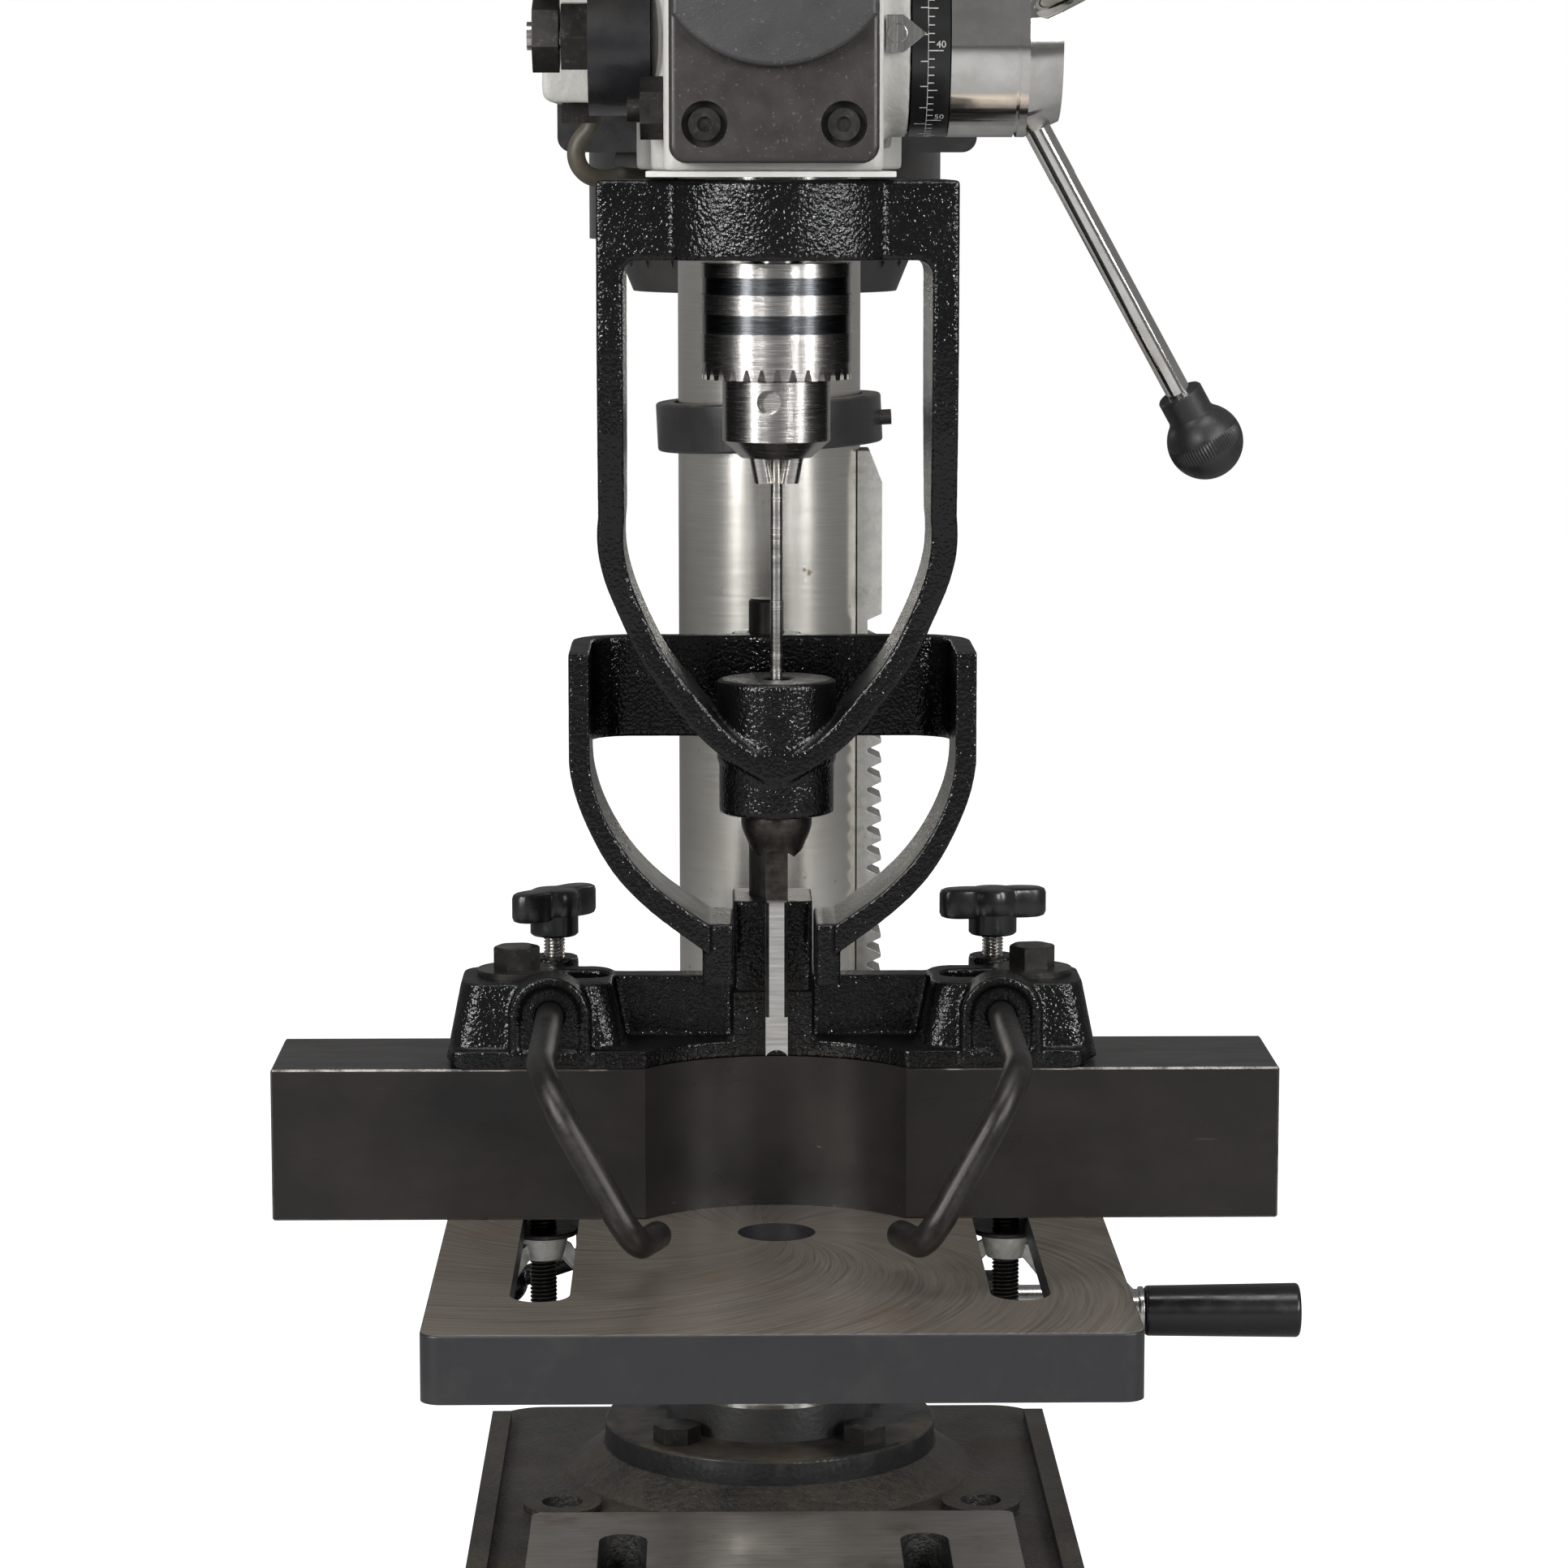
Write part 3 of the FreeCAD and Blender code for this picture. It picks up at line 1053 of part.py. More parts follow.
def motor_shaft():
    rotor = rod_z(0, MOTOR_Y, 29, 545, 615)
    return union(rotor, rod_z(0, MOTOR_Y, 7, 545, 714))


def motor_lead():
    radii = cord_radii(LEAD_ROUTE)
    print("motor lead radii", [round(r, 1) for r in radii])
    lead = tube_along(LEAD_ROUTE, radii, LEAD_R)
    length = bent_path(LEAD_ROUTE, radii).Length
    print("motor lead length", round(length, 1), "volume ratio",
          round(lead.Volume / (math.pi * LEAD_R ** 2 * length), 4))
    return lead


NODES = {
    "base_casting": base_casting,
    "column_flange": column_flange,
    "flange_bolts": flange_bolts,
    "column_tube": column_tube,
    "rack_collar": rack_collar,
    "rack": rack,
    "table_bracket": table_bracket,
    "tilt_bolt": tilt_bolt,
    "clamp_lever": clamp_lever,
    "lift_pinion": lift_pinion,
    "crank": crank,
    "crank_grip": crank_grip,
    "table": table,
    "fence": fence,
    "fence_studs": fence_studs,
    "wing_nut_left": lambda: wing_nut(-1),
    "wing_nut_right": lambda: wing_nut(1),
    "guide_casting": guide_casting,
    "guide_bolts": guide_bolts,
    "guide_post": guide_post,
    "hold_down": hold_down,
    "hold_down_lock": hold_down_lock,
    "hook_rod_left": lambda: hook_rod(-1),
    "hook_rod_right": lambda: hook_rod(1),
    "rod_knob_left": lambda: rod_knob(-1),
    "rod_knob_right": lambda: rod_knob(1),
    "head_casting": head_casting,
    "head_bottom_plate": head_bottom_plate,
    "front_cover": front_cover,
    "cover_screws": cover_screws,
    "switch_paddle": switch_paddle,
    "depth_pointer": depth_pointer,
    "spring_cap": spring_cap,
    "return_spring": return_spring,
    "jam_nuts": jam_nuts,
    "head_studs": head_studs,
    "pinion_shaft": pinion_shaft,
    "feed_hub": feed_hub,
    "feed_levers": feed_levers,
    "lever_knobs": lever_knobs,
    "depth_ring": depth_ring,
    "quill": quill,
    "quill_bearings": quill_bearings,
    "yoke": yoke,
    "mortise_chisel": mortise_chisel,
    "spindle": spindle,
    "chuck_body": chuck_body,
    "chuck_jaws": chuck_jaws,
    "chuck_sleeve": chuck_sleeve,
    "auger_bit": auger_bit,
    "spindle_pulley": spindle_pulley,
    "motor_pulley": motor_pulley,
    "drive_belt": drive_belt,
    "belt_guard": belt_guard,
    "belt_guard_lid": belt_guard_lid,
    "motor_mount": motor_mount,
    "motor_mount_bolts": motor_mount_bolts,
    "motor_body": motor_body,
    "motor_shaft": motor_shaft,
    "motor_lead": motor_lead,
}

os.makedirs("parts", exist_ok=True)
for name, make in NODES.items():
    shape = make()
    shape.exportStep("parts/" + name + ".step")
    bounds = shape.BoundBox
    print(name, len(shape.Solids), shape.isValid(), round(shape.Volume),
          [round(v, 1) for v in (bounds.XMin, bounds.XMax, bounds.YMin, bounds.YMax, bounds.ZMin, bounds.ZMax)])
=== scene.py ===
import json
import math

import bmesh
import bpy
from mathutils import Matrix, Vector

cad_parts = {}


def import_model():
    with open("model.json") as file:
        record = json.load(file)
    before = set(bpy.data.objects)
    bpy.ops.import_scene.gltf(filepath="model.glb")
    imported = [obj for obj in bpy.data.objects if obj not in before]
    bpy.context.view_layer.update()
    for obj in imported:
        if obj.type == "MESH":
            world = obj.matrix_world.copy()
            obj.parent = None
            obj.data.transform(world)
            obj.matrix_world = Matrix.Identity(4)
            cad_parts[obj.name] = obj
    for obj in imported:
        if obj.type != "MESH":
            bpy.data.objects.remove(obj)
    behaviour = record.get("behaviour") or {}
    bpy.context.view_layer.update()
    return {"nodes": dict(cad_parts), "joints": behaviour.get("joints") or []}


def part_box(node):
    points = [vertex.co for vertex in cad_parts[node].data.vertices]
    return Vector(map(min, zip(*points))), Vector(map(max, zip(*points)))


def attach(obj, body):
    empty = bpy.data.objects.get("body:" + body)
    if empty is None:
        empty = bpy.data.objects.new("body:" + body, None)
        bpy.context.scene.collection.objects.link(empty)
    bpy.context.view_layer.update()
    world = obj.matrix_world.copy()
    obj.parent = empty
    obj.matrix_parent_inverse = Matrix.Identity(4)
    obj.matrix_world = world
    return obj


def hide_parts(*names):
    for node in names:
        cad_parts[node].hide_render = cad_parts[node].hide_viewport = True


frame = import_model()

MM = 0.001
NODES = frame["nodes"]
JOINTS = {joint["name"]: joint for joint in frame["joints"]}


def joint_place(name):
    return Vector(JOINTS[name]["pos_m"])


SPINDLE = Vector((0, joint_place("pulley_spin").y, 0))
FEED = joint_place("feed_turn")


# ---------------------------------------------------------------- materials

class Surface:
    """A Principled material with short helpers for the nodes around it.

    Patterns lie in object coordinates, in metres.
    """

    def __init__(self, name, colour, roughness, metallic=0.0, **sockets):
        self.material = bpy.data.materials.new(name)
        self.material.use_nodes = True
        self.tree = self.material.node_tree
        self.shader = self.tree.nodes["Principled BSDF"]
        self.set("Base Color", (*colour, 1))
        self.set("Roughness", roughness)
        self.set("Metallic", metallic)
        for socket, value in sockets.items():
            self.set(socket.replace("_", " "), value)
        self.place = self.node("ShaderNodeTexCoord").outputs["Object"]
        self.facing = self.place.node.outputs["Normal"]
        self.last_bump = None

    def set(self, socket, value):
        self.shader.inputs[socket].default_value = value

    def link(self, value, socket):
        if isinstance(value, bpy.types.NodeSocket):
            self.tree.links.new(value, socket)
        elif isinstance(value, tuple) and len(value) == 3 and socket.type == "RGBA":
            socket.default_value = (*value, 1)
        else:
            socket.default_value = value

    def drive(self, socket, value):
        self.link(value, self.shader.inputs[socket])

    def node(self, kind, **settings):
        made = self.tree.nodes.new(kind)
        for key, value in settings.items():
            setattr(made, key, value)
        return made

    def math(self, operation, a, b=0.0, clamp=False):
        made = self.node("ShaderNodeMath", operation=operation, use_clamp=clamp)
        self.link(a, made.inputs[0])
        self.link(b, made.inputs[1])
        return made.outputs[0]

    def stretch(self, scale, turn=(0, 0, 0)):
        """Object coordinates scaled per axis and turned, for patterns longer one way than another."""
        made = self.node("ShaderNodeMapping")
        self.link(self.place, made.inputs["Vector"])
        made.inputs["Scale"].default_value = scale
        made.inputs["Rotation"].default_value = turn
        return made.outputs[0]

    def noise(self, scale, detail=3.0, roughness=0.5, vector=None, distortion=0.0):
        made = self.node("ShaderNodeTexNoise")
        self.link(vector or self.place, made.inputs["Vector"])
        made.inputs["Scale"].default_value = scale
        made.inputs["Detail"].default_value = detail
        made.inputs["Roughness"].default_value = roughness
        made.inputs["Distortion"].default_value = distortion
        return made.outputs["Fac"]

    def cells(self, scale):
        """A random colour for each cell of a mosaic."""
        made = self.node("ShaderNodeTexVoronoi")
        self.link(self.place, made.inputs["Vector"])
        made.inputs["Scale"].default_value = scale
        return made.outputs["Color"]

    def ramp(self, value, low, high, start=0.0, end=1.0):
        """The value mapped from low..high to start..end, and held at both ends."""
        made = self.node("ShaderNodeMapRange")
        self.link(value, made.inputs["Value"])
        for socket, number in (("From Min", low), ("From Max", high), ("To Min", start), ("To Max", end)):
            made.inputs[socket].default_value = number
        return made.outputs[0]

    def mix(self, factor, a, b):
        made = self.node("ShaderNodeMix", data_type="RGBA")
        self.link(factor, made.inputs["Factor"])
        self.link(a, made.inputs[6])
        self.link(b, made.inputs[7])
        return made.outputs[2]

    def axes(self, vector=None):
        made = self.node("ShaderNodeSeparateXYZ")
        self.link(vector or self.place, made.inputs[0])
        return made.outputs

    def polar(self, centre):
        """(angle, radius) about an upright axis through a centre."""
        parts = self.axes()
        u = self.math("SUBTRACT", parts[0], centre.x)
        v = self.math("SUBTRACT", parts[1], centre.y)
        angle = self.math("ARCTAN2", v, u)
        square = self.math("ADD", self.math("MULTIPLY", u, u), self.math("MULTIPLY", v, v))
        return angle, self.math("SQRT", square)

    def combine(self, x, y, z):
        made = self.node("ShaderNodeCombineXYZ")
        for value, socket in zip((x, y, z), made.inputs):
            self.link(value, socket)
        return made.outputs[0]

    def bump(self, height, distance, strength=1.0):
        made = self.node("ShaderNodeBump")
        self.link(height, made.inputs["Height"])
        made.inputs["Distance"].default_value = distance
        made.inputs["Strength"].default_value = strength
        if self.last_bump:
            self.link(self.last_bump, made.inputs["Normal"])
        self.last_bump = made.outputs[0]
        self.drive("Normal", self.last_bump)

    def between(self, value, low, high, soft):
        """1 from low to high and 0 outside, with soft edges."""
        rise = self.ramp(value, low - soft, low + soft)
        fall = self.ramp(value, high - soft, high + soft, 1.0, 0.0)
        return self.math("MULTIPLY", rise, fall)


def hammered_black():
    """Glossy hammered paint, duller where it lies flat and gathers dust."""
    s = Surface("hammered_black", (0.003, 0.003, 0.0033), 0.11, Specular_IOR_Level=0.36)
    up = s.axes(s.facing)[2]
    rough = s.ramp(s.noise(90, 3), 0.35, 0.7, 0.08, 0.17)
    s.drive("Roughness", s.math("ADD", rough, s.ramp(up, 0.3, 0.8, 0.0, 0.3)))
    s.bump(s.noise(780, 1, 0.5), 0.00055, 0.7)
    return s.material


PAD_TOP = 41.5 * MM
PAD_BACK = -88.2 * MM


def base_paint():
    """Dusty textured black paint, with a ground steel pad at the front."""
    s = Surface("base_paint", (0.02, 0.02, 0.021), 0.4)
    parts = s.axes()
    up = s.axes(s.facing)[2]
    grit = s.noise(420, 4, 0.65)
    dust = s.math("MULTIPLY", s.ramp(s.noise(22, 8, 0.75), 0.4, 0.66), s.ramp(up, 0.4, 0.9))
    speck = s.ramp(s.noise(760, 4, 0.8), 0.6, 0.7)
    painted = s.mix(s.ramp(grit, 0.35, 0.65), (0.012, 0.012, 0.0125), (0.036, 0.034, 0.031))
    painted = s.mix(s.math("MULTIPLY", dust, 0.6), painted, (0.1, 0.078, 0.052))
    painted = s.mix(s.math("MULTIPLY", speck, 0.35), painted, (0.24, 0.2, 0.15))
    above = s.ramp(parts[2], PAD_TOP - 0.1 * MM, PAD_TOP + 0.1 * MM)
    before = s.ramp(parts[1], PAD_BACK + 0.2 * MM, PAD_BACK - 0.2 * MM)
    pad = s.math("MULTIPLY", s.math("MULTIPLY", above, before), s.ramp(up, 0.9, 0.97))
    streak = s.noise(60, 6, 0.65, vector=s.stretch((1, 22, 1)))
    steel = s.mix(s.ramp(streak, 0.3, 0.7), (0.23, 0.21, 0.19), (0.42, 0.39, 0.355))
    steel = s.mix(s.ramp(s.noise(35, 6, 0.7), 0.55, 0.75), steel, (0.19, 0.13, 0.085))
    s.drive("Base Color", s.mix(pad, painted, steel))
    s.drive("Metallic", s.math("MULTIPLY", pad, 0.75))
    rough = s.ramp(s.noise(40, 6), 0.3, 0.7, 0.28, 0.48)
    s.drive("Roughness", s.math("ADD", rough, s.math("MULTIPLY", dust, 0.2), clamp=True))
    s.bump(s.math("MULTIPLY", grit, s.math("SUBTRACT", 1.0, pad)), 0.0011, 0.9)
    return s.material


def gloss_paint(name, colour, rough, grain, depth, dust):
    """Smooth paint with a film of dust on whatever faces up."""
    s = Surface(name, colour, rough, Coat_Weight=0.2, Coat_Roughness=0.15)
    up = s.axes(s.facing)[2]
    film = s.math("MULTIPLY", s.ramp(s.noise(30, 7, 0.7), 0.42, 0.7), s.ramp(up, 0.1, 0.9))
    s.drive("Base Color", s.mix(s.math("MULTIPLY", film, dust), colour, (0.16, 0.125, 0.085)))
    s.drive("Roughness", s.ramp(s.noise(70, 4), 0.3, 0.7, rough - 0.06, rough + 0.14))
    s.bump(s.noise(grain, 3, 0.55), depth, 0.5)
    return s.material


def textured_putty():
    """Pale textured paint with a little grime in it."""
    s = Surface("head_paint", (0.5, 0.49, 0.45), 0.45)
    tone = s.noise(22, 6, 0.65)
    colour = s.mix(s.ramp(tone, 0.35, 0.7), (0.56, 0.555, 0.53), (0.44, 0.43, 0.395))
    grime = s.ramp(s.noise(60, 8, 0.75), 0.6, 0.8)
    s.drive("Base Color", s.mix(s.math("MULTIPLY", grime, 0.5), colour, (0.2, 0.17, 0.13)))
    s.drive("Roughness", s.ramp(tone, 0.3, 0.7, 0.32, 0.55))
    s.bump(s.noise(330, 3, 0.55, distortion=0.5), 0.0006, 0.6)
    return s.material


def ground_steel(name, colour, rough, lines):
    """Ground or turned steel: fine lines that run round the named axis, and a slow mottle."""
    s = Surface(name, colour, rough, 1.0)
    squeeze = [0.02, 0.02, 0.02]
    squeeze["xyz".index(lines)] = 1.0
    around = s.stretch(tuple(squeeze))
    fine = 2600
    grain = s.noise(fine, 4, 0.6, vector=around)
    broad = s.noise(fine / 9, 3, 0.6, vector=around)
    darker = tuple(c * 0.86 for c in colour)
    lighter = tuple(min(1, c * 1.12) for c in colour)
    shade = s.mix(s.ramp(grain, 0.3, 0.7), darker, lighter)
    patch = s.ramp(s.noise(28, 5, 0.6), 0.3, 0.75)
    shade = s.mix(s.math("MULTIPLY", patch, 0.25), shade, tuple(c * 0.7 for c in colour))
    s.drive("Base Color", shade)
    both = s.math("ADD", s.math("MULTIPLY", grain, 0.5), s.math("MULTIPLY", broad, 0.5))
    s.drive("Roughness", s.ramp(both, 0.3, 0.7, rough - 0.09, rough + 0.12))
    s.bump(grain, 0.00004, 0.35)
    return s.material


def column_steel():
    """Ground tube: fine rings, slanting scratches, a yellowed bloom and a few rust dots."""
    s = Surface("column_steel", (0.5, 0.48, 0.45), 0.3, 1.0)
    lines = s.noise(1500, 5, 0.65, vector=s.stretch((0.03, 0.03, 1)))
    sweep = s.noise(150, 4, 0.6, vector=s.stretch((0.3, 0.3, 1), turn=(0.4, 0.2, 0)))
    shade = s.mix(s.ramp(lines, 0.2, 0.8), (0.74, 0.715, 0.66), (0.86, 0.84, 0.79))
    shade = s.mix(s.math("MULTIPLY", s.ramp(sweep, 0.5, 0.75), 0.2), shade, (0.95, 0.94, 0.91))
    shade = s.mix(s.math("MULTIPLY", s.ramp(s.noise(16, 5), 0.45, 0.75), 0.35), shade, (0.55, 0.49, 0.39))
    dots = s.math("MULTIPLY", s.ramp(s.noise(95, 5, 0.7), 0.665, 0.72), 0.8)
    s.drive("Base Color", s.mix(dots, shade, (0.25, 0.17, 0.09)))
    s.drive("Roughness", s.ramp(lines, 0.2, 0.8, 0.2, 0.27))
    s.bump(lines, 0.00002, 0.3)
    return s.material


def mottled_plate(name):
    """Zinc-like plating with its patchwork of grey."""
    s = Surface(name, (0.5, 0.5, 0.48), 0.42, 0.9)
    value = s.axes(s.cells(420))[0]
    cloudy = s.noise(90, 7, 0.7)
    shade = s.mix(s.ramp(cloudy, 0.35, 0.7), (0.52, 0.515, 0.49), (0.27, 0.26, 0.23))
    shade = s.mix(s.math("MULTIPLY", value, 0.3), shade, (0.66, 0.66, 0.64))
    s.drive("Base Color", shade)
    s.drive("Roughness", s.ramp(cloudy, 0.3, 0.7, 0.34, 0.6))
    s.bump(cloudy, 0.0002, 0.5)
    return s.material


def table_iron():
    """Milled table top with arcs fanning out from the centre hole, on a dark painted skirt."""
    s = Surface("table_iron", (0.1, 0.085, 0.07), 0.4, 0.5)
    up = s.axes(s.facing)[2]
    machined = s.ramp(up, 0.85, 0.95)
    angle, radius = s.polar(SPINDLE)
    twist = s.math("ADD", angle, s.math("MULTIPLY", radius, 9.0))
    x = s.math("COSINE", twist)
    y = s.math("SINE", twist)
    reach = s.math("MULTIPLY", radius, 0.7)
    lines = s.noise(52, 4, 0.6, vector=s.combine(x, y, reach))
    broad = s.noise(6, 3, 0.5, vector=s.combine(x, y, reach))
    tone = s.mix(s.ramp(lines, 0.34, 0.66), (0.19, 0.16, 0.13), (0.46, 0.41, 0.355))
    tone = s.mix(s.math("MULTIPLY", s.ramp(broad, 0.4, 0.6), 0.4), tone, (0.4, 0.35, 0.29))
    rust = s.math("MULTIPLY", s.ramp(s.noise(24, 7, 0.7), 0.58, 0.78), 0.5)
    tone = s.mix(rust, tone, (0.3, 0.16, 0.07))
    paint = s.mix(s.ramp(s.noise(45, 6, 0.7), 0.5, 0.8), (0.016, 0.016, 0.018), (0.028, 0.026, 0.025))
    s.drive("Base Color", s.mix(machined, paint, tone))
    s.drive("Metallic", s.math("MULTIPLY", machined, 0.8))
    smooth = s.ramp(lines, 0.3, 0.7, 0.42, 0.26)
    painted = s.ramp(s.noise(60, 4), 0.3, 0.7, 0.3, 0.42)
    difference = s.math("SUBTRACT", smooth, painted)
    s.drive("Roughness", s.math("ADD", painted, s.math("MULTIPLY", difference, machined)))
    skirt = s.math("SUBTRACT", 1.0, machined)
    s.bump(s.math("MULTIPLY", lines, machined), 0.0002, 0.7)
    s.bump(s.math("MULTIPLY", s.noise(300, 3), skirt), 0.00025, 0.4)
    return s.material


FENCE_NOTCH_HALF = 61.5 * MM


def fence_black():
    """Black-oxide bar: bright chamfers beside the middle notch, faint scratches and a soft bloom."""
    s = Surface("fence_black", (0.03, 0.028, 0.027), 0.34, 0.6, Specular_IOR_Level=0.3)
    facing = s.axes(s.facing)
    strongest = s.math("MAXIMUM", s.math("ABSOLUTE", facing[0]), s.math("ABSOLUTE", facing[1]))
    strongest = s.math("MAXIMUM", strongest, s.math("ABSOLUTE", facing[2]))
    bar_x = s.math("ABSOLUTE", s.axes()[0])
    beside_notch = s.ramp(bar_x, FENCE_NOTCH_HALF - 1 * MM, FENCE_NOTCH_HALF + 1 * MM)
    edge = s.math("MULTIPLY", s.ramp(strongest, 0.9, 0.85), beside_notch)
    edge = s.math("MULTIPLY", edge, s.ramp(s.noise(160, 5, 0.7), 0.32, 0.55))
    bloom = s.ramp(s.noise(9, 5, 0.6, vector=s.stretch((1, 1, 1.6))), 0.35, 0.7)
    body = s.mix(bloom, (0.011, 0.0105, 0.0105), (0.026, 0.022, 0.02))
    scratch_field = s.noise(420, 2, 0.5, vector=s.stretch((0.05, 1, 1), turn=(0, 0.35, 0)))
    scratch = s.math("MULTIPLY", s.ramp(scratch_field, 0.72, 0.76), s.ramp(s.noise(30, 3), 0.5, 0.7))
    body = s.mix(s.math("MULTIPLY", scratch, 0.5), body, (0.16, 0.15, 0.14))
    s.drive("Base Color", s.mix(s.math("MULTIPLY", edge, 0.6), body, (0.3, 0.28, 0.26)))
    drawn = s.noise(70, 6, 0.7, vector=s.stretch((0.25, 1, 1)))
    s.drive("Roughness", s.ramp(drawn, 0.3, 0.7, 0.24, 0.4))
    s.drive("Metallic", s.ramp(edge, 0.0, 1.0, 0.2, 0.9))
    s.bump(s.noise(900, 3, 0.6, vector=s.stretch((0.06, 1, 1))), 0.00003, 0.4)
    return s.material


def black_oxide(name, colour, rough, wear):
    """Blackened steel, worn through to bare metal in places."""
    s = Surface(name, colour, rough, 0.75)
    patch = s.ramp(s.noise(55, 7, 0.72), 0.4, 0.72)
    worn = s.math("MULTIPLY", s.ramp(s.noise(260, 6, 0.75), 0.56, 0.75), wear)
    tone = s.mix(patch, colour, tuple(c * 1.9 for c in colour))
    s.drive("Base Color", s.mix(worn, tone, (0.3, 0.27, 0.23)))
    s.drive("Roughness", s.ramp(patch, 0.0, 1.0, rough - 0.08, rough + 0.14))
    s.bump(s.noise(500, 4, 0.6), 0.00012, 0.4)
    return s.material


def chrome():
    """Old chrome plating: hazy in patches, with small pits."""
    s = Surface("chrome", (0.78, 0.77, 0.75), 0.08, 1.0)
    haze = s.noise(34, 6, 0.7)
    streak = s.noise(700, 4, 0.65, vector=s.stretch((0.05, 1, 1)))
    shade = s.mix(s.ramp(haze, 0.4, 0.75), (0.76, 0.75, 0.73), (0.5, 0.48, 0.45))
    pit = s.math("MULTIPLY", s.ramp(s.noise(420, 5, 0.8), 0.68, 0.76), 0.6)
    s.drive("Base Color", s.mix(pit, shade, (0.2, 0.15, 0.1)))
    rough = s.math("ADD", s.ramp(haze, 0.35, 0.75, 0.05, 0.16), s.ramp(streak, 0.5, 0.8, 0.0, 0.06))
    s.drive("Roughness", rough)
    s.bump(s.noise(60, 2), 0.00025, 0.25)
    return s.material


CHUCK_BANDS = ((10.9 * MM, 4.9 * MM), (24.4 * MM, 17.9 * MM))
TEETH_HEIGHT = 5 * MM
TEETH_BACK_R = 20 * MM


def chuck_steel():
    """Turned chuck: bright steel, two dark bands, and shade behind the sleeve's teeth.

    CHUCK_BANDS gives each dark band's bottom and top as depths below the sleeve's top.
    """
    s = Surface("chuck_steel", (0.5, 0.48, 0.46), 0.22, 1.0)
    z = s.axes()[2]
    low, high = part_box("chuck_sleeve")
    upper, lower = (s.between(z, high.z - bottom, high.z - top, 0.15 * MM) for bottom, top in CHUCK_BANDS)
    dark = s.math("MAXIMUM", upper, lower)
    lines = s.noise(5200, 4, 0.6, vector=s.stretch((0.02, 0.02, 1)))
    bright = s.mix(s.ramp(lines, 0.3, 0.7), (0.42, 0.4, 0.38), (0.66, 0.64, 0.62))
    deep = s.mix(s.ramp(lines, 0.3, 0.7), (0.06, 0.065, 0.07), (0.13, 0.135, 0.14))
    beside_teeth = s.between(z, low.z - 0.6 * MM, low.z + TEETH_HEIGHT, 0.3 * MM)
    inside_teeth = s.ramp(s.polar(SPINDLE)[1], TEETH_BACK_R + 0.6 * MM, TEETH_BACK_R)
    behind = s.math("MULTIPLY", beside_teeth, inside_teeth)
    shade = s.mix(s.math("MULTIPLY", behind, 0.92), s.mix(dark, bright, deep), (0.01, 0.01, 0.01))
    s.drive("Base Color", shade)
    s.drive("Roughness", s.ramp(lines, 0.25, 0.75, 0.15, 0.3))
    s.bump(lines, 0.00004, 0.45)
    return s.material


BLADE_LENGTH = 54 * MM
BLADE_HALF = 4 * MM


def chisel_steel():
    """Dark shank and shoulder in forging scale above a light ground square blade, whose chamfers take the
    same dark colour as painted shade.
    """
    s = Surface("chisel_steel", (0.4, 0.39, 0.37), 0.35, 0.9)
    blade_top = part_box("mortise_chisel")[0].z + BLADE_LENGTH
    parts = s.axes()
    sideways = s.math("ABSOLUTE", parts[0])
    forwards = s.math("ABSOLUTE", s.math("SUBTRACT", parts[1], SPINDLE.y))
    narrow = s.ramp(s.math("MAXIMUM", sideways, forwards), BLADE_HALF + 0.1 * MM, BLADE_HALF)
    facing = s.axes(s.facing)
    square = s.math("MAXIMUM", s.math("ABSOLUTE", facing[0]), s.math("ABSOLUTE", facing[1]))
    blade = s.math("MULTIPLY", s.ramp(parts[2], blade_top + 2.5 * MM, blade_top), narrow)
    # Slanted chamfer faces drop out of the blade mask and get the dark colour: painted shade.
    blade = s.math("MULTIPLY", blade, s.ramp(square, 0.8, 0.9))
    across = s.noise(900, 4, 0.65, vector=s.stretch((0.05, 0.05, 1)))
    ground = s.mix(s.ramp(across, 0.3, 0.7), (0.4, 0.39, 0.375), (0.56, 0.55, 0.535))
    scale = s.ramp(s.noise(160, 6, 0.7), 0.35, 0.75)
    forged_and_chamfer_shade = s.mix(scale, (0.025, 0.023, 0.021), (0.09, 0.08, 0.07))
    # The shank's dark scale colour also paints shade on the blade's chamfers.
    s.drive("Base Color", s.mix(blade, forged_and_chamfer_shade, ground))
    s.drive("Roughness", s.ramp(across, 0.3, 0.7, 0.3, 0.46))
    s.bump(across, 0.00004, 0.4)
    return s.material


def moulded_plastic(name, colour, rough, grain, depth, dust=0.0):
    """Plastic or rubber with a moulded grain and specks of dust."""
    s = Surface(name, colour, rough)
    tone = s.ramp(s.noise(40, 5, 0.6), 0.35, 0.7)
    shade = s.mix(tone, colour, tuple(c * 1.45 for c in colour))
    specks = s.math("MULTIPLY", s.ramp(s.noise(700, 4, 0.8), 0.62, 0.72), dust)
    s.drive("Base Color", s.mix(specks, shade, (0.3, 0.27, 0.23)))
    s.drive("Roughness", s.ramp(s.noise(120, 4), 0.3, 0.7, rough - 0.06, rough + 0.08))
    s.bump(s.noise(grain, 3, 0.6), depth, 0.5)
    return s.material


def lead_rubber():
    s = Surface("lead_rubber", (0.05, 0.045, 0.035), 0.5)
    tone = s.ramp(s.noise(80, 6, 0.7), 0.35, 0.7)
    s.drive("Base Color", s.mix(tone, (0.06, 0.055, 0.042), (0.11, 0.09, 0.06)))
    s.drive("Roughness", s.ramp(tone, 0.0, 1.0, 0.4, 0.62))
    s.bump(s.noise(900, 3), 0.00012, 0.4)
    return s.material


def white_marking():
    s = Surface("white_marking", (0.75, 0.75, 0.73), 0.5)
    worn = s.ramp(s.noise(900, 5, 0.7), 0.4, 0.7)
    s.drive("Base Color", s.mix(worn, (0.78, 0.78, 0.76), (0.45, 0.44, 0.42)))
    return s.material


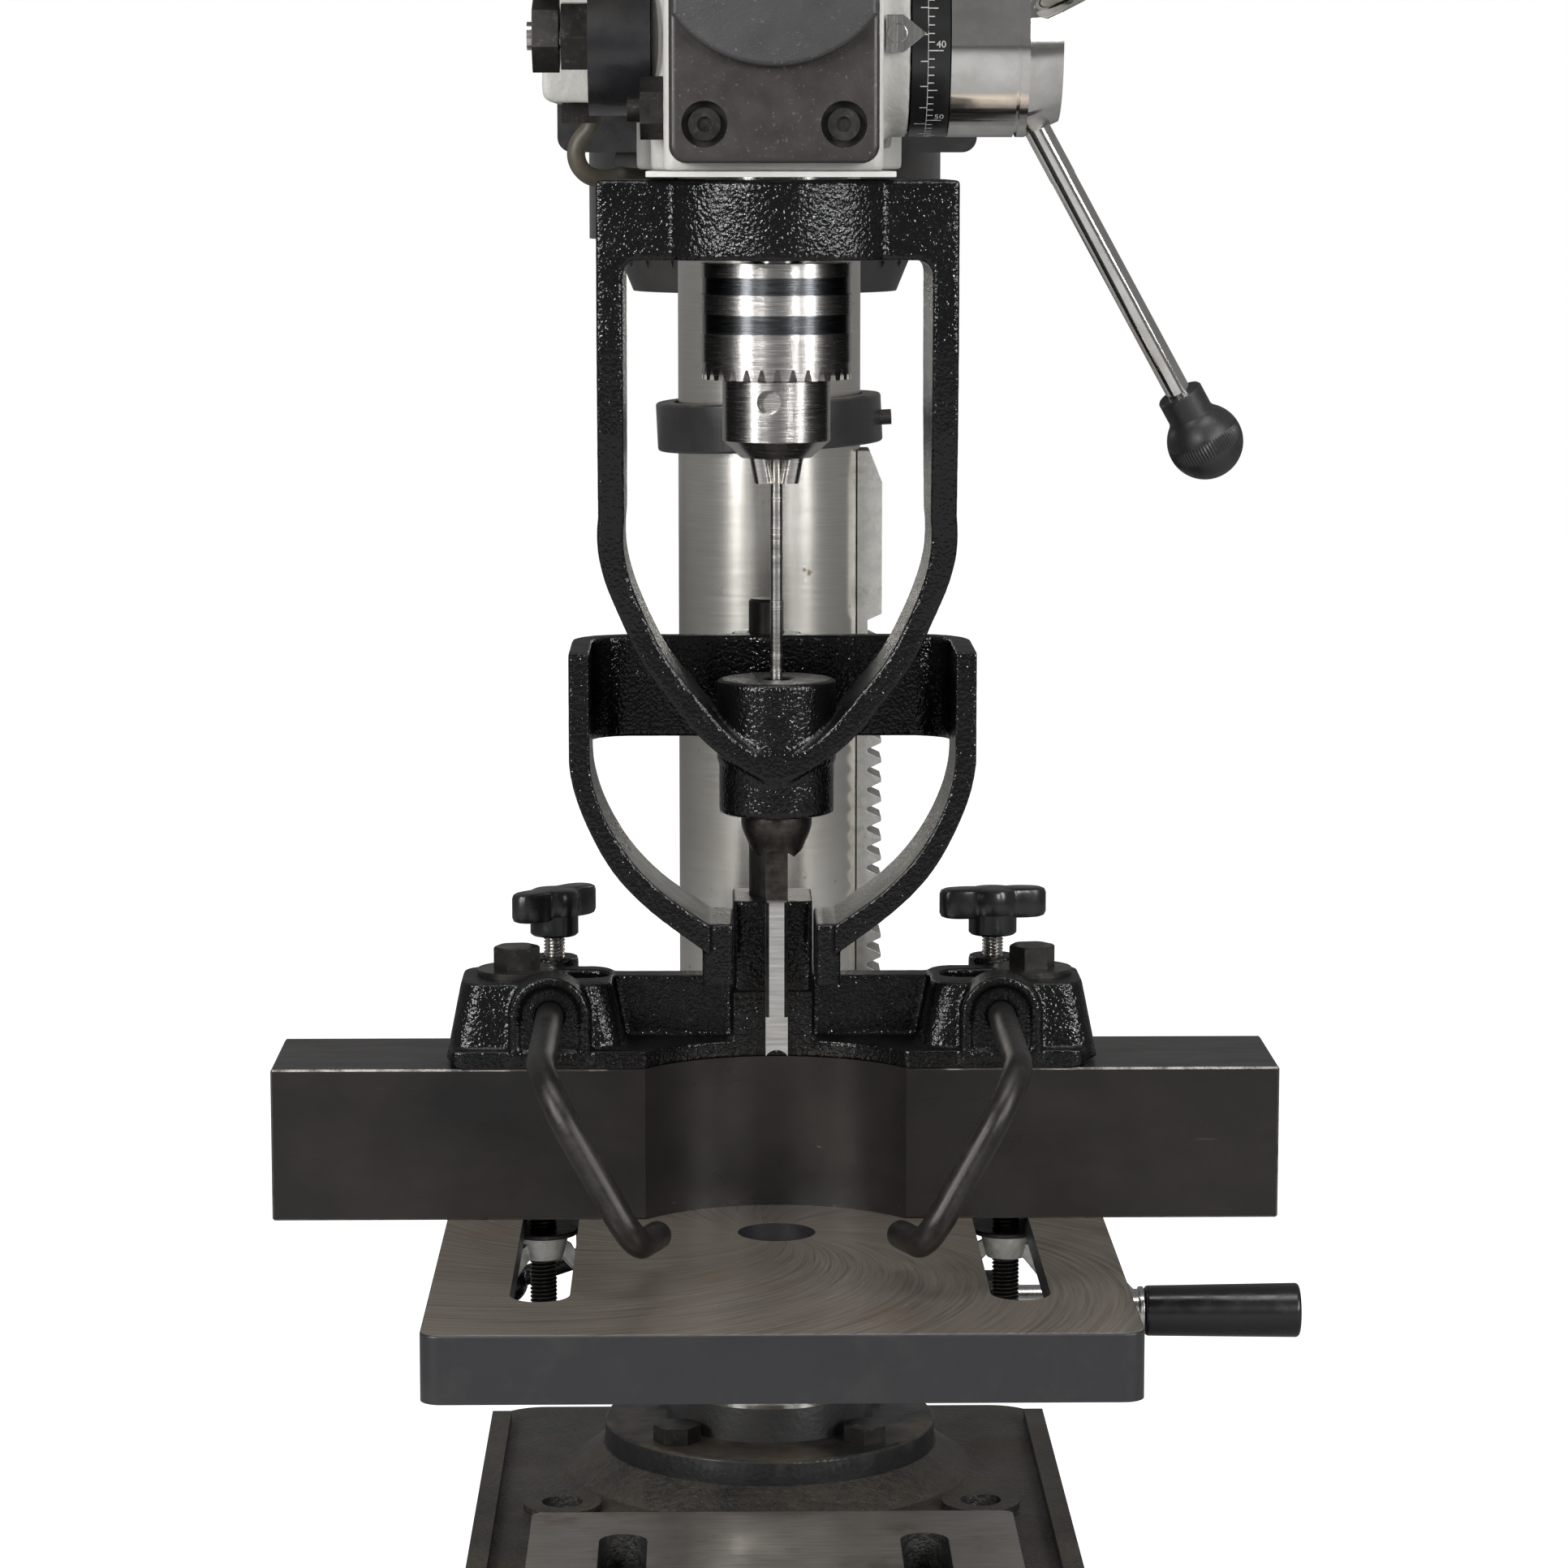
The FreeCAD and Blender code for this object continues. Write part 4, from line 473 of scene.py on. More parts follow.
def cast_motor():
    s = Surface("motor_paint", (0.017, 0.017, 0.018), 0.3, Coat_Weight=0.3, Coat_Roughness=0.2)
    dust = s.ramp(s.noise(30, 5), 0.4, 0.75)
    s.drive("Base Color", s.mix(dust, (0.015, 0.015, 0.016), (0.035, 0.031, 0.026)))
    s.drive("Roughness", s.ramp(s.noise(50, 5), 0.3, 0.7, 0.24, 0.4))
    s.bump(s.noise(260, 3), 0.0003, 0.35)
    return s.material


MATERIALS = {
    "hammered": hammered_black(),
    "base": base_paint(),
    "flange": gloss_paint("flange_paint", (0.009, 0.009, 0.0095), 0.5, 420, 0.0006, 0.7),
    "collar": gloss_paint("collar_paint", (0.018, 0.018, 0.019), 0.3, 600, 0.0001, 0.75),
    "satin": gloss_paint("satin_black", (0.014, 0.014, 0.016), 0.26, 300, 0.0001, 0.3),
    "guard": gloss_paint("guard_paint", (0.016, 0.016, 0.0175), 0.5, 500, 0.0001, 0.12),
    "putty": textured_putty(),
    "column": column_steel(),
    "rack": mottled_plate("rack_plate"),
    "table": table_iron(),
    "fence": fence_black(),
    "oxide": black_oxide("dark_bolts", (0.03, 0.028, 0.026), 0.34, 0.35),
    "rod": black_oxide("rod_black", (0.024, 0.022, 0.021), 0.42, 0.05),
    "chrome": chrome(),
    "chuck": chuck_steel(),
    "chisel": chisel_steel(),
    "bright": ground_steel("bright_steel", (0.58, 0.56, 0.53), 0.2, "z"),
    "bright_x": ground_steel("bright_shaft", (0.55, 0.54, 0.52), 0.2, "x"),
    "zinc": mottled_plate("zinc_plate"),
    "plastic": moulded_plastic("black_plastic", (0.008, 0.008, 0.009), 0.24, 90, 0.0001),
    "ball": moulded_plastic("ball_plastic", (0.012, 0.012, 0.0125), 0.4, 800, 0.00004, 0.3),
    "cover": moulded_plastic("cover_plastic", (0.021, 0.018, 0.017), 0.33, 260, 0.0001, 0.5),
    "paddle": moulded_plastic("paddle_plastic", (0.021, 0.02, 0.021), 0.42, 1300, 0.0003, 0.5),
    "lead": lead_rubber(),
    "belt": moulded_plastic("belt_rubber", (0.014, 0.014, 0.014), 0.7, 900, 0.0002),
    "ring": gloss_paint("ring_black", (0.012, 0.012, 0.013), 0.3, 700, 0.00005, 0.1),
    "marking": white_marking(),
    "motor": cast_motor(),
    "pulley": ground_steel("pulley_alloy", (0.62, 0.62, 0.63), 0.3, "z"),
}

FINISH = {
    "base": ["base_casting"],
    "flange": ["column_flange"],
    "collar": ["rack_collar"],
    "satin": ["spring_cap", "motor_mount"],
    "guard": ["belt_guard", "belt_guard_lid"],
    "putty": ["head_casting", "head_bottom_plate"],
    "column": ["column_tube"],
    "rack": ["rack"],
    "table": ["table"],
    "fence": ["fence"],
    "oxide": ["flange_bolts", "tilt_bolt", "guide_bolts", "cover_screws", "head_studs", "jam_nuts",
              "motor_mount_bolts"],
    "rod": ["hook_rod_left", "hook_rod_right", "guide_post"],
    "hammered": ["guide_casting", "hold_down", "yoke", "table_bracket", "clamp_lever"],
    "chrome": ["feed_hub", "feed_levers"],
    "chuck": ["chuck_body", "chuck_sleeve", "chuck_jaws"],
    "chisel": ["mortise_chisel"],
    "bright": ["auger_bit", "quill", "quill_bearings", "spindle", "motor_shaft"],
    "bright_x": ["pinion_shaft", "lift_pinion", "crank", "return_spring", "depth_pointer"],
    "zinc": ["wing_nut_left", "wing_nut_right"],
    "plastic": ["crank_grip"],
    "cover": ["front_cover"],
    "paddle": ["switch_paddle"],
    "belt": ["drive_belt"],
    "ring": ["depth_ring"],
    "motor": ["motor_body"],
    "pulley": ["spindle_pulley", "motor_pulley"],
}


def paint(piece, key):
    piece.data.materials.clear()
    piece.data.materials.append(MATERIALS[key])


CREASE_DEGREES = 32


def smooth(piece, degrees=CREASE_DEGREES):
    """Smooth shading with creases where faces meet at more than the given angle."""
    mesh = piece.data
    if "custom_normal" in mesh.attributes:
        mesh.attributes.remove(mesh.attributes["custom_normal"])
    mesh.shade_smooth()
    mesh.set_sharp_from_angle(angle=math.radians(degrees))


WELD_GAP = 0.005 * MM
FLAT_DEGREES = 0.6
BEVEL_DEGREES = 34
BEVEL_SEGMENTS = 2


def soften(node, width):
    """Small rounded edges on a CAD node."""
    piece = NODES[node]
    weld = piece.modifiers.new("weld", "WELD")
    weld.merge_threshold = WELD_GAP
    flatten = piece.modifiers.new("flatten", "DECIMATE")
    flatten.decimate_type = "DISSOLVE"
    flatten.angle_limit = math.radians(FLAT_DEGREES)
    bevel = piece.modifiers.new("bevel", "BEVEL")
    bevel.width = width
    bevel.segments = BEVEL_SEGMENTS
    bevel.limit_method = "ANGLE"
    bevel.angle_limit = math.radians(BEVEL_DEGREES)
    bevel.harden_normals = True
    bevel.miter_outer = "MITER_ARC"


SKIN_GRAIN = 4 * MM
SKIN_LEVEL = 0.6
RELAX_FACTOR = 0.5


def cast_over(node, voxel, passes, relief):
    """Rounds a casting's edges as a sand mould leaves them, and gives its skin a shallow relief.

    The mesh is rebuilt at the voxel size, relaxed that many passes, and raised by up to the relief.
    """
    piece = NODES[node]
    remesh = piece.modifiers.new("remesh", "REMESH")
    remesh.mode = "VOXEL"
    remesh.voxel_size = voxel
    remesh.use_smooth_shade = True
    relax = piece.modifiers.new("relax", "SMOOTH")
    relax.factor = RELAX_FACTOR
    relax.iterations = passes
    if relief:
        texture = bpy.data.textures.new(node + "_skin", "CLOUDS")
        texture.noise_scale = SKIN_GRAIN
        texture.noise_depth = 1
        skin = piece.modifiers.new("skin", "DISPLACE")
        skin.texture = texture
        skin.texture_coords = "LOCAL"
        skin.strength = relief
        skin.mid_level = SKIN_LEVEL


for key, members in FINISH.items():
    for member in members:
        paint(NODES[member], key)
        smooth(NODES[member])

CASTINGS = {
    "hold_down": (0.8 * MM, 5, 0.1 * MM),
    "guide_casting": (0.8 * MM, 5, 0.1 * MM),
    "yoke": (1.05 * MM, 3, 0.1 * MM),
    "head_casting": (1.6 * MM, 3, 0.2 * MM),
    "wing_nut_left": (0.35 * MM, 4, 0.0),
    "wing_nut_right": (0.35 * MM, 4, 0.0),
}
for member, (voxel, passes, relief) in CASTINGS.items():
    cast_over(member, voxel, passes, relief)

BEVELS = {
    0.5 * MM: ["table", "table_bracket", "front_cover", "base_casting", "column_flange", "motor_mount",
               "rack_collar", "crank", "belt_guard"],
    0.3 * MM: ["flange_bolts", "guide_bolts", "head_studs", "jam_nuts", "motor_mount_bolts", "tilt_bolt",
               "depth_pointer", "head_bottom_plate"],
    0.2 * MM: ["chuck_body", "rack"],
}
for width, members in BEVELS.items():
    for member in members:
        soften(member, width)


# ---------------------------------------------------------------- pieces made here

MERGE_GAP = 1e-7


def new_piece(name, vertices, faces, key, body, slot):
    """A mesh object that rides a body, with its material; the slot argument is not used."""
    mesh = bpy.data.meshes.new(name)
    mesh.from_pydata(vertices, [], faces)
    mesh.validate()
    mesh.update()
    tidy = bmesh.new()
    tidy.from_mesh(mesh)
    bmesh.ops.remove_doubles(tidy, verts=tidy.verts, dist=MERGE_GAP)
    bmesh.ops.recalc_face_normals(tidy, faces=tidy.faces)
    tidy.to_mesh(mesh)
    tidy.free()
    piece = bpy.data.objects.new(name, mesh)
    bpy.context.scene.collection.objects.link(piece)
    paint(piece, key)
    smooth(piece)
    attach(piece, body)
    return piece


def grid_faces(rows, columns):
    """Faces between successive rings of vertices."""
    faces = []
    for i in range(rows - 1):
        for k in range(columns):
            after = (k + 1) % columns
            near = i * columns
            far = near + columns
            faces.append((near + k, near + after, far + after, far + k))
    return faces


def capped_grid(rows, columns):
    """Ring faces with one flat face over each end."""
    last = (rows - 1) * columns
    faces = grid_faces(rows, columns)
    faces.append(tuple(range(columns))[::-1])
    faces.append(tuple(range(last, last + columns)))
    return faces


def turned_point(place, radius, step, columns, height):
    """A vertex at one of the equal steps round +Z, moved by a matrix."""
    angle = 2 * math.pi * step / columns
    return place @ Vector((radius * math.cos(angle), radius * math.sin(angle), height))


def lathe(profile, place, columns=64, wobble=None):
    """Vertices and faces of a profile of (radius, height) turned about +Z, then moved by a matrix."""
    vertices = []
    for i, (radius, height) in enumerate(profile):
        for k in range(columns):
            r = radius + (wobble(i, k) if wobble else 0.0)
            vertices.append(turned_point(place, r, k, columns, height))
    return vertices, capped_grid(len(profile), columns)


THREAD_COLUMNS = 40
THREAD_STEPS = 8
THREAD_DEPTH = 0.6
THREAD_CREST = 1.35
THREAD_SLOPE = 2.7


def threaded_rod(place, radius, pitch, length):
    """A helical thread about +Z with its crests at the radius, as deep as THREAD_DEPTH pitches."""
    rows = int(length / pitch * THREAD_STEPS) + 1
    vertices = []
    for i in range(rows):
        height = length * i / (rows - 1)
        for k in range(THREAD_COLUMNS):
            phase = (height / pitch - k / THREAD_COLUMNS) % 1.0
            tooth = min(1.0, max(0.0, THREAD_CREST - THREAD_SLOPE * abs(phase - 0.5)))
            r = radius - THREAD_DEPTH * pitch * (1 - tooth)
            vertices.append(turned_point(place, r, k, THREAD_COLUMNS, height))
    return vertices, capped_grid(rows, THREAD_COLUMNS)


def join(*parts):
    """One list of vertices and one of faces from several pairs."""
    vertices = []
    faces = []
    for part_vertices, part_faces in parts:
        start = len(vertices)
        vertices += list(part_vertices)
        faces += [tuple(start + i for i in face) for face in part_faces]
    return vertices, faces


TABLE_WEB = 10 * MM
STUD_R = 5 * MM
STUD_PITCH = 1.5 * MM
STUD_INTO_SLOT = 8 * MM
WASHER_SEAT = 2 * MM
WASHER_PROFILE = (
    (5.2 * MM, 0),
    (12.6 * MM, 0),
    (13 * MM, 0.4 * MM),
    (13 * MM, 1.5 * MM),
    (12.6 * MM, 1.9 * MM),
    (5.2 * MM, 1.9 * MM),
)


def fence_studs():
    """A threaded stud and its washer under each of the table's slots."""
    low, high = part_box("fence_studs")
    stud_y = (low.y + high.y) / 2
    table_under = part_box("table")[1].z - TABLE_WEB
    for side in ("left", "right"):
        stud_x = joint_place(side + "_wing_nut_turn").x
        at = Matrix.Translation((stud_x, stud_y, low.z))
        thread = threaded_rod(at, STUD_R, STUD_PITCH, table_under + STUD_INTO_SLOT - low.z)
        ring = Matrix.Translation((stud_x, stud_y, table_under - WASHER_SEAT))
        washer = lathe(WASHER_PROFILE, ring)
        name = "fence_stud_" + side
        stud = new_piece(name, *join(thread, washer), "oxide", "fence_assembly", "stud_black")
        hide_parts("fence_studs")


KNOB_COLUMNS = 96
KNOB_BLEND = 3


def lobed_outline(reach, lobe, lobes, hub):
    """Radius at each angle of a round hub with evenly spaced rounded arms."""
    radii = []
    for k in range(KNOB_COLUMNS):
        angle = 2 * math.pi * k / KNOB_COLUMNS
        best = hub
        for i in range(lobes):
            turn = (angle - 2 * math.pi * i / lobes + math.pi) % (2 * math.pi) - math.pi
            if abs(turn) < math.pi / 2:
                side = abs(reach * math.sin(turn))
                if side < lobe:
                    best = max(best, reach * math.cos(turn) + math.sqrt(lobe * lobe - side * side))
                elif turn:
                    best = max(best, min(lobe / abs(math.sin(turn)), reach))
        radii.append(best)
    for _ in range(KNOB_BLEND):
        after = radii[1:] + radii[:1]
        radii = [(radii[k - 1] + 2 * radii[k] + after[k]) / 4 for k in range(KNOB_COLUMNS)]
    return radii


KNOB_RIM = 1.8 * MM
KNOB_CROWN = 0.6 * MM
KNOB_CROWN_INSET = 4.5 * MM


def lobed_knob(place, reach, lobe, height, lobes, hub):
    """A knob head with rounded arms about +Z, rounded rims and a slightly domed top."""
    radii = lobed_outline(reach, lobe, lobes, hub)
    rings = (
        (0.0, -KNOB_RIM),
        (0.25 * KNOB_RIM, -0.35 * KNOB_RIM),
        (KNOB_RIM, 0.0),
        (height - KNOB_RIM, 0.0),
        (height - 0.3 * KNOB_RIM, -0.3 * KNOB_RIM),
        (height, -KNOB_RIM),
        (height + 0.4 * KNOB_CROWN, -KNOB_CROWN_INSET),
    )
    vertices = []
    for z, inset in rings:
        for k, radius in enumerate(radii):
            vertices.append(turned_point(place, radius + inset, k, KNOB_COLUMNS, z))
    faces = grid_faces(len(rings), KNOB_COLUMNS)
    for ring, z, flip in ((0, 0.0, True), (len(rings) - 1, height + KNOB_CROWN, False)):
        centre = len(vertices)
        first = ring * KNOB_COLUMNS
        vertices.append(place @ Vector((0, 0, z)))
        for k in range(KNOB_COLUMNS):
            here = first + k
            after = first + (k + 1) % KNOB_COLUMNS
            faces.append((after, here, centre) if flip else (here, after, centre))
    return vertices, faces


SCREW_R = 4 * MM
SCREW_PITCH = 1.25 * MM
ROD_KNOB_TURNS = {"left": 48, "right": 8}
ROD_KNOB_REACH = 14.8 * MM
ROD_KNOB_ARM_R = 5.6 * MM
ROD_KNOB_HUB_R = 9.2 * MM
ROD_KNOB_HEIGHT = 10.8 * MM
ROD_KNOB_HEAD_DEPTH = 11.5 * MM
ROD_KNOB_NECK = ((8.2 * MM, 0), (9 * MM, 0.8 * MM), (9 * MM, 9 * MM))
ROD_KNOB_NECK_DEPTH = 18 * MM
ROD_KNOB_SCREW_DEPTH = 17 * MM


def rod_knobs():
    """The two-armed clamp knobs over the hook rods; depths are below the knob's top."""
    for side, turn in ROD_KNOB_TURNS.items():
        node = "rod_knob_" + side
        body = side + "_knob"
        low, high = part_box(node)
        axis = joint_place(body + "_turn")

        def on_axis(z):
            return Matrix.Translation((axis.x, axis.y, z))

        at = on_axis(high.z - ROD_KNOB_HEAD_DEPTH) @ Matrix.Rotation(math.radians(turn), 4, "Z")
        head = lobed_knob(at, ROD_KNOB_REACH, ROD_KNOB_ARM_R, ROD_KNOB_HEIGHT, 2, ROD_KNOB_HUB_R)
        neck = lathe(ROD_KNOB_NECK, on_axis(high.z - ROD_KNOB_NECK_DEPTH))
        knob = new_piece(node + "_grip", *join(head, neck), "plastic", body, "black_plastic")
        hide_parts(node)
        screw_length = high.z - ROD_KNOB_SCREW_DEPTH - low.z
        screw = threaded_rod(on_axis(low.z), SCREW_R, SCREW_PITCH, screw_length)
        new_piece(node + "_screw", *screw, "bright", body, "zinc")


LOCK_REACH = 10.6 * MM
LOCK_ARM_R = 6.9 * MM
LOCK_HUB_R = 8.6 * MM
LOCK_HEIGHT = 13 * MM
LOCK_HEAD_DEPTH = 14 * MM
LOCK_SCREW_DEPTH = 13.5 * MM


def hold_down_knob():
    """The three-armed lock knob behind the post; depths are in front of the knob's back."""
    low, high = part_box("hold_down_lock")
    axis = joint_place("hold_down_lock_turn")
    back = Matrix.Rotation(-math.pi / 2, 4, "X")
    at = Matrix.Translation((axis.x, high.y - LOCK_HEAD_DEPTH, axis.z)) @ back
    head = lobed_knob(at, LOCK_REACH, LOCK_ARM_R, LOCK_HEIGHT, 3, LOCK_HUB_R)
    knob = new_piece("hold_down_lock_grip", *head, "plastic", "hold_down_screw", "black_plastic")
    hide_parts("hold_down_lock")
    screw_at = Matrix.Translation((axis.x, low.y, axis.z)) @ back
    screw = threaded_rod(screw_at, SCREW_R, SCREW_PITCH, high.y - LOCK_SCREW_DEPTH - low.y)
    new_piece("hold_down_lock_screw", *screw, "bright", "hold_down_screw", "zinc")


LEVER_ANGLES = (-13.0, 107.0, 227.0)
LEVER_CONE = math.radians(61)
LEVER_LENGTH = 137 * MM
LEVER_ROOT_X = 92 * MM
LEVER_ROOT_R = 30 * MM


def lever_frame(degrees, along):
    """A matrix at a distance along one feed lever, with +Z pointing outwards along it."""
    a = math.radians(degrees)
    outward = Vector((0, -math.sin(a), -math.cos(a)))
    direction = Vector((math.cos(LEVER_CONE), 0, 0)) + outward * math.sin(LEVER_CONE)
    start = Vector((LEVER_ROOT_X, FEED.y, FEED.z)) + outward * LEVER_ROOT_R
    turn = direction.to_track_quat("Z", "Y").to_matrix().to_4x4()
    return Matrix.Translation(start + direction * along) @ turn


BALL_R = 14 * MM
BALL_STEPS = 28
BALL_COLUMNS = 144
BALL_CREASE_DEGREES = 24
BALL_NECK_R = 9.2 * MM
BALL_END_GAP = 0.04
BALL_COLLAR = ((5 * MM, -21 * MM), (8 * MM, -21 * MM), (8.5 * MM, -20.4 * MM), (8.5 * MM, -12 * MM))
KNURL_HALF = 3.2 * MM
KNURL_DEPTH = 0.35 * MM


def ball_knob_profile():
    """Collar and ball as (radius, height) pairs, with the ball's centre at height 0."""
    profile = list(BALL_COLLAR)
    start = math.asin(BALL_NECK_R / BALL_R)
    for i in range(BALL_STEPS + 1):
        angle = start + (math.pi - BALL_END_GAP - start) * i / BALL_STEPS
        profile.append((BALL_R * math.sin(angle), -BALL_R * math.cos(angle)))
    return profile


def lever_knobs():
    """A ball on each feed lever, with a knurled belt round its widest part."""
    profile = ball_knob_profile()

    def knurl(i, k):
        on_belt = i > len(BALL_COLLAR) and abs(profile[i][1]) < KNURL_HALF
        return -KNURL_DEPTH * (k % 2) if on_belt else 0.0

    parts = [lathe(profile, lever_frame(a, LEVER_LENGTH), BALL_COLUMNS, knurl) for a in LEVER_ANGLES]
    knobs = new_piece("ball_knobs", *join(*parts), "ball", "feed", "black_plastic")
    smooth(knobs, BALL_CREASE_DEGREES)
    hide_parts("lever_knobs")


RING_READING = 38.0
PINION_TEETH = 12
PINION_MODULE = 2
DEGREES_PER_MM = 360 / (math.pi * PINION_MODULE * PINION_TEETH)
RING_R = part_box("depth_ring")[1].z - FEED.z
MARK_ROOT = -0.1 * MM
MARK_LIFT = 0.05 * MM
FIGURE_DEPTH = 0.02 * MM
FIGURE_LIFT = 0.03 * MM


def ring_point(x, value, lift):
    """A point over the depth ring's rim at an axial place and a scale value in millimetres."""
    radius = RING_R + lift
    a = math.radians((value - RING_READING) * DEGREES_PER_MM)
    return Vector((x, FEED.y - radius * math.cos(a), FEED.z - radius * math.sin(a)))


def ring_mark(x0, x1, value, half):
    """A thin raised bar on the rim, its half width in scale millimetres."""
    outline = ((x0, value - half), (x1, value - half), (x1, value + half), (x0, value + half))
    corners = [ring_point(x, v, lift) for lift in (MARK_ROOT, MARK_LIFT) for x, v in outline]
    faces = [(0, 1, 2, 3), (4, 5, 6, 7), (0, 1, 5, 4), (1, 2, 6, 5), (2, 3, 7, 6), (3, 0, 4, 7)]
    return corners, faces


def ring_text(text, x, value, size):
    """Plain figures wrapped on the rim, standing upright at the front."""
    curve = bpy.data.curves.new("figures", "FONT")
    curve.body = text
    curve.size = size
    curve.extrude = FIGURE_DEPTH
    curve.resolution_u = 3
    holder = bpy.data.objects.new("figures", curve)
    bpy.context.scene.collection.objects.link(holder)
    bpy.context.view_layer.update()
    graph = bpy.context.evaluated_depsgraph_get()
    mesh = bpy.data.meshes.new_from_object(holder.evaluated_get(graph))
    per_metre = 1 / (math.radians(DEGREES_PER_MM) * RING_R)
    vertices = []
    for v in mesh.vertices:
        vertices.append(ring_point(x + v.co.x, value - v.co.y * per_metre, FIGURE_LIFT + v.co.z))
    faces = [tuple(polygon.vertices) for polygon in mesh.polygons]
    bpy.data.objects.remove(holder)
    bpy.data.curves.remove(curve)
    bpy.data.meshes.remove(mesh)
    return vertices, faces


SCALE_LINE = 5.6 * MM
SCALE_LINE_HALF = 0.1 * MM
SCALE_END = 70
SCALE_EIGHTHS = 22
EIGHTH_INCH = 25.4 / 8
TEN_LENGTH = 5.2 * MM
FIVE_LENGTH = 3.4 * MM
ONE_LENGTH = 2.2 * MM
HALF_INCH_LENGTH = 4.2 * MM
EIGHTH_LENGTH = 2.6 * MM
MARK_HALF = 0.06
STEP_HALF = 0.5
FIGURE_SIZE = 3.5 * MM
FIGURE_OFFSET = 2.7 * MM
FIGURE_DROP = 0.35


def depth_scale():
    """Millimetres and figures on one side of the scale's line, eighths of an inch on the other."""
    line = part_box("depth_ring")[0].x + SCALE_LINE
    parts = []
    for v in range(SCALE_END + 1):
        length = TEN_LENGTH if v % 10 == 0 else FIVE_LENGTH if v % 5 == 0 else ONE_LENGTH
        parts.append(ring_mark(line, line + length, v, MARK_HALF))
        parts.append(ring_mark(line - SCALE_LINE_HALF, line + SCALE_LINE_HALF, v, STEP_HALF))
        if v % 10 == 0:
            parts.append(ring_text(str(v), line + FIGURE_OFFSET, v - FIGURE_DROP, FIGURE_SIZE))
    for i in range(SCALE_EIGHTHS + 1):
        length = HALF_INCH_LENGTH if i % 4 == 0 else EIGHTH_LENGTH
        parts.append(ring_mark(line - length, line, i * EIGHTH_INCH, MARK_HALF))
    new_piece("depth_graduations", *join(*parts), "marking", "scale_ring", "ring_black")


LEAD_ROUTE = (
    (-67.5, -52.0, 584.0),
    (-67.5, -52.0, 576.0),
    (-73.2, -52.0, 570.3),
    (-74.6, -52.0, 565.0),
    (-72.9, -51.0, 559.8),
    (-68.7, -48.5, 556.3),
    (-62.0, -41.0, 555.8),
    (-59.8, -24.0, 556.6),
    (-60.0, -4.0, 557.3),
    (-59.0, 15.0, 557.0),
    (-55.0, 31.0, 556.4),
    (-50.0, 46.0, 556.0),
    (-50.0, 60.3, 556.0),
)
LEAD_R = 3.5 * MM
LEAD_ROUNDNESS = 6
LEAD_STEPS = 16


def motor_lead():
    """The round lead that hangs from the head's wing to the motor; the route is in millimetres."""
    curve = bpy.data.curves.new("lead", "CURVE")
    curve.dimensions = "3D"
    curve.bevel_depth = LEAD_R
    curve.bevel_resolution = LEAD_ROUNDNESS
    curve.resolution_u = LEAD_STEPS
    curve.use_fill_caps = True
    spline = curve.splines.new("NURBS")
    spline.points.add(len(LEAD_ROUTE) - 1)
    for point, (x, y, z) in zip(spline.points, LEAD_ROUTE):
        point.co = (x * MM, y * MM, z * MM, 1)
    spline.order_u = 3
    spline.use_endpoint_u = True
    lead = bpy.data.objects.new("lead", curve)
    bpy.context.scene.collection.objects.link(lead)
    paint(lead, "lead")
    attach(lead, "frame")
    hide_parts("motor_lead")


fence_studs()
rod_knobs()
hold_down_knob()
lever_knobs()
depth_scale()
motor_lead()


# ---------------------------------------------------------------- studio

FLOOR_CORNERS = ((-4, -3, 0), (4, -3, 0), (4, 5, 0), (-4, 5, 0))


def floor():
    """A pale floor, white to the camera and dimmer to the lamps and reflections."""
    mesh = bpy.data.meshes.new("floor")
    mesh.from_pydata(FLOOR_CORNERS, [], [(0, 1, 2, 3)])
    plane = bpy.data.objects.new("floor", mesh)
    bpy.context.scene.collection.objects.link(plane)
    pale = Surface("floor_pale", (0.4, 0.4, 0.4), 0.8)
    pale.set("Emission Color", (1, 1, 1, 1))
    seen = pale.node("ShaderNodeLightPath").outputs["Is Camera Ray"]
    pale.drive("Emission Strength", seen)
    plane.data.materials.append(pale.material)


# Each lamp's name, place, aim, size in metres and power in watts.
LAMPS = (
    ("key_left", (-1.15, -1.25, 1.0), (0, -0.1, 0.45), (0.4, 1.1), 20),
    ("fill_right", (1.2, -1.15, 1.0), (0, -0.1, 0.45), (0.35, 1.1), 15),
    ("top", (0, -0.7, 1.9), (0, -0.2, 0.3), (0.9, 0.6), 12),
    ("spark_left", (-0.75, -1.9, 0.95), (0, -0.2, 0.4), (0.1, 0.5), 10),
    ("spark_right", (0.85, -1.8, 0.85), (0, -0.2, 0.4), (0.1, 0.5), 9),
)


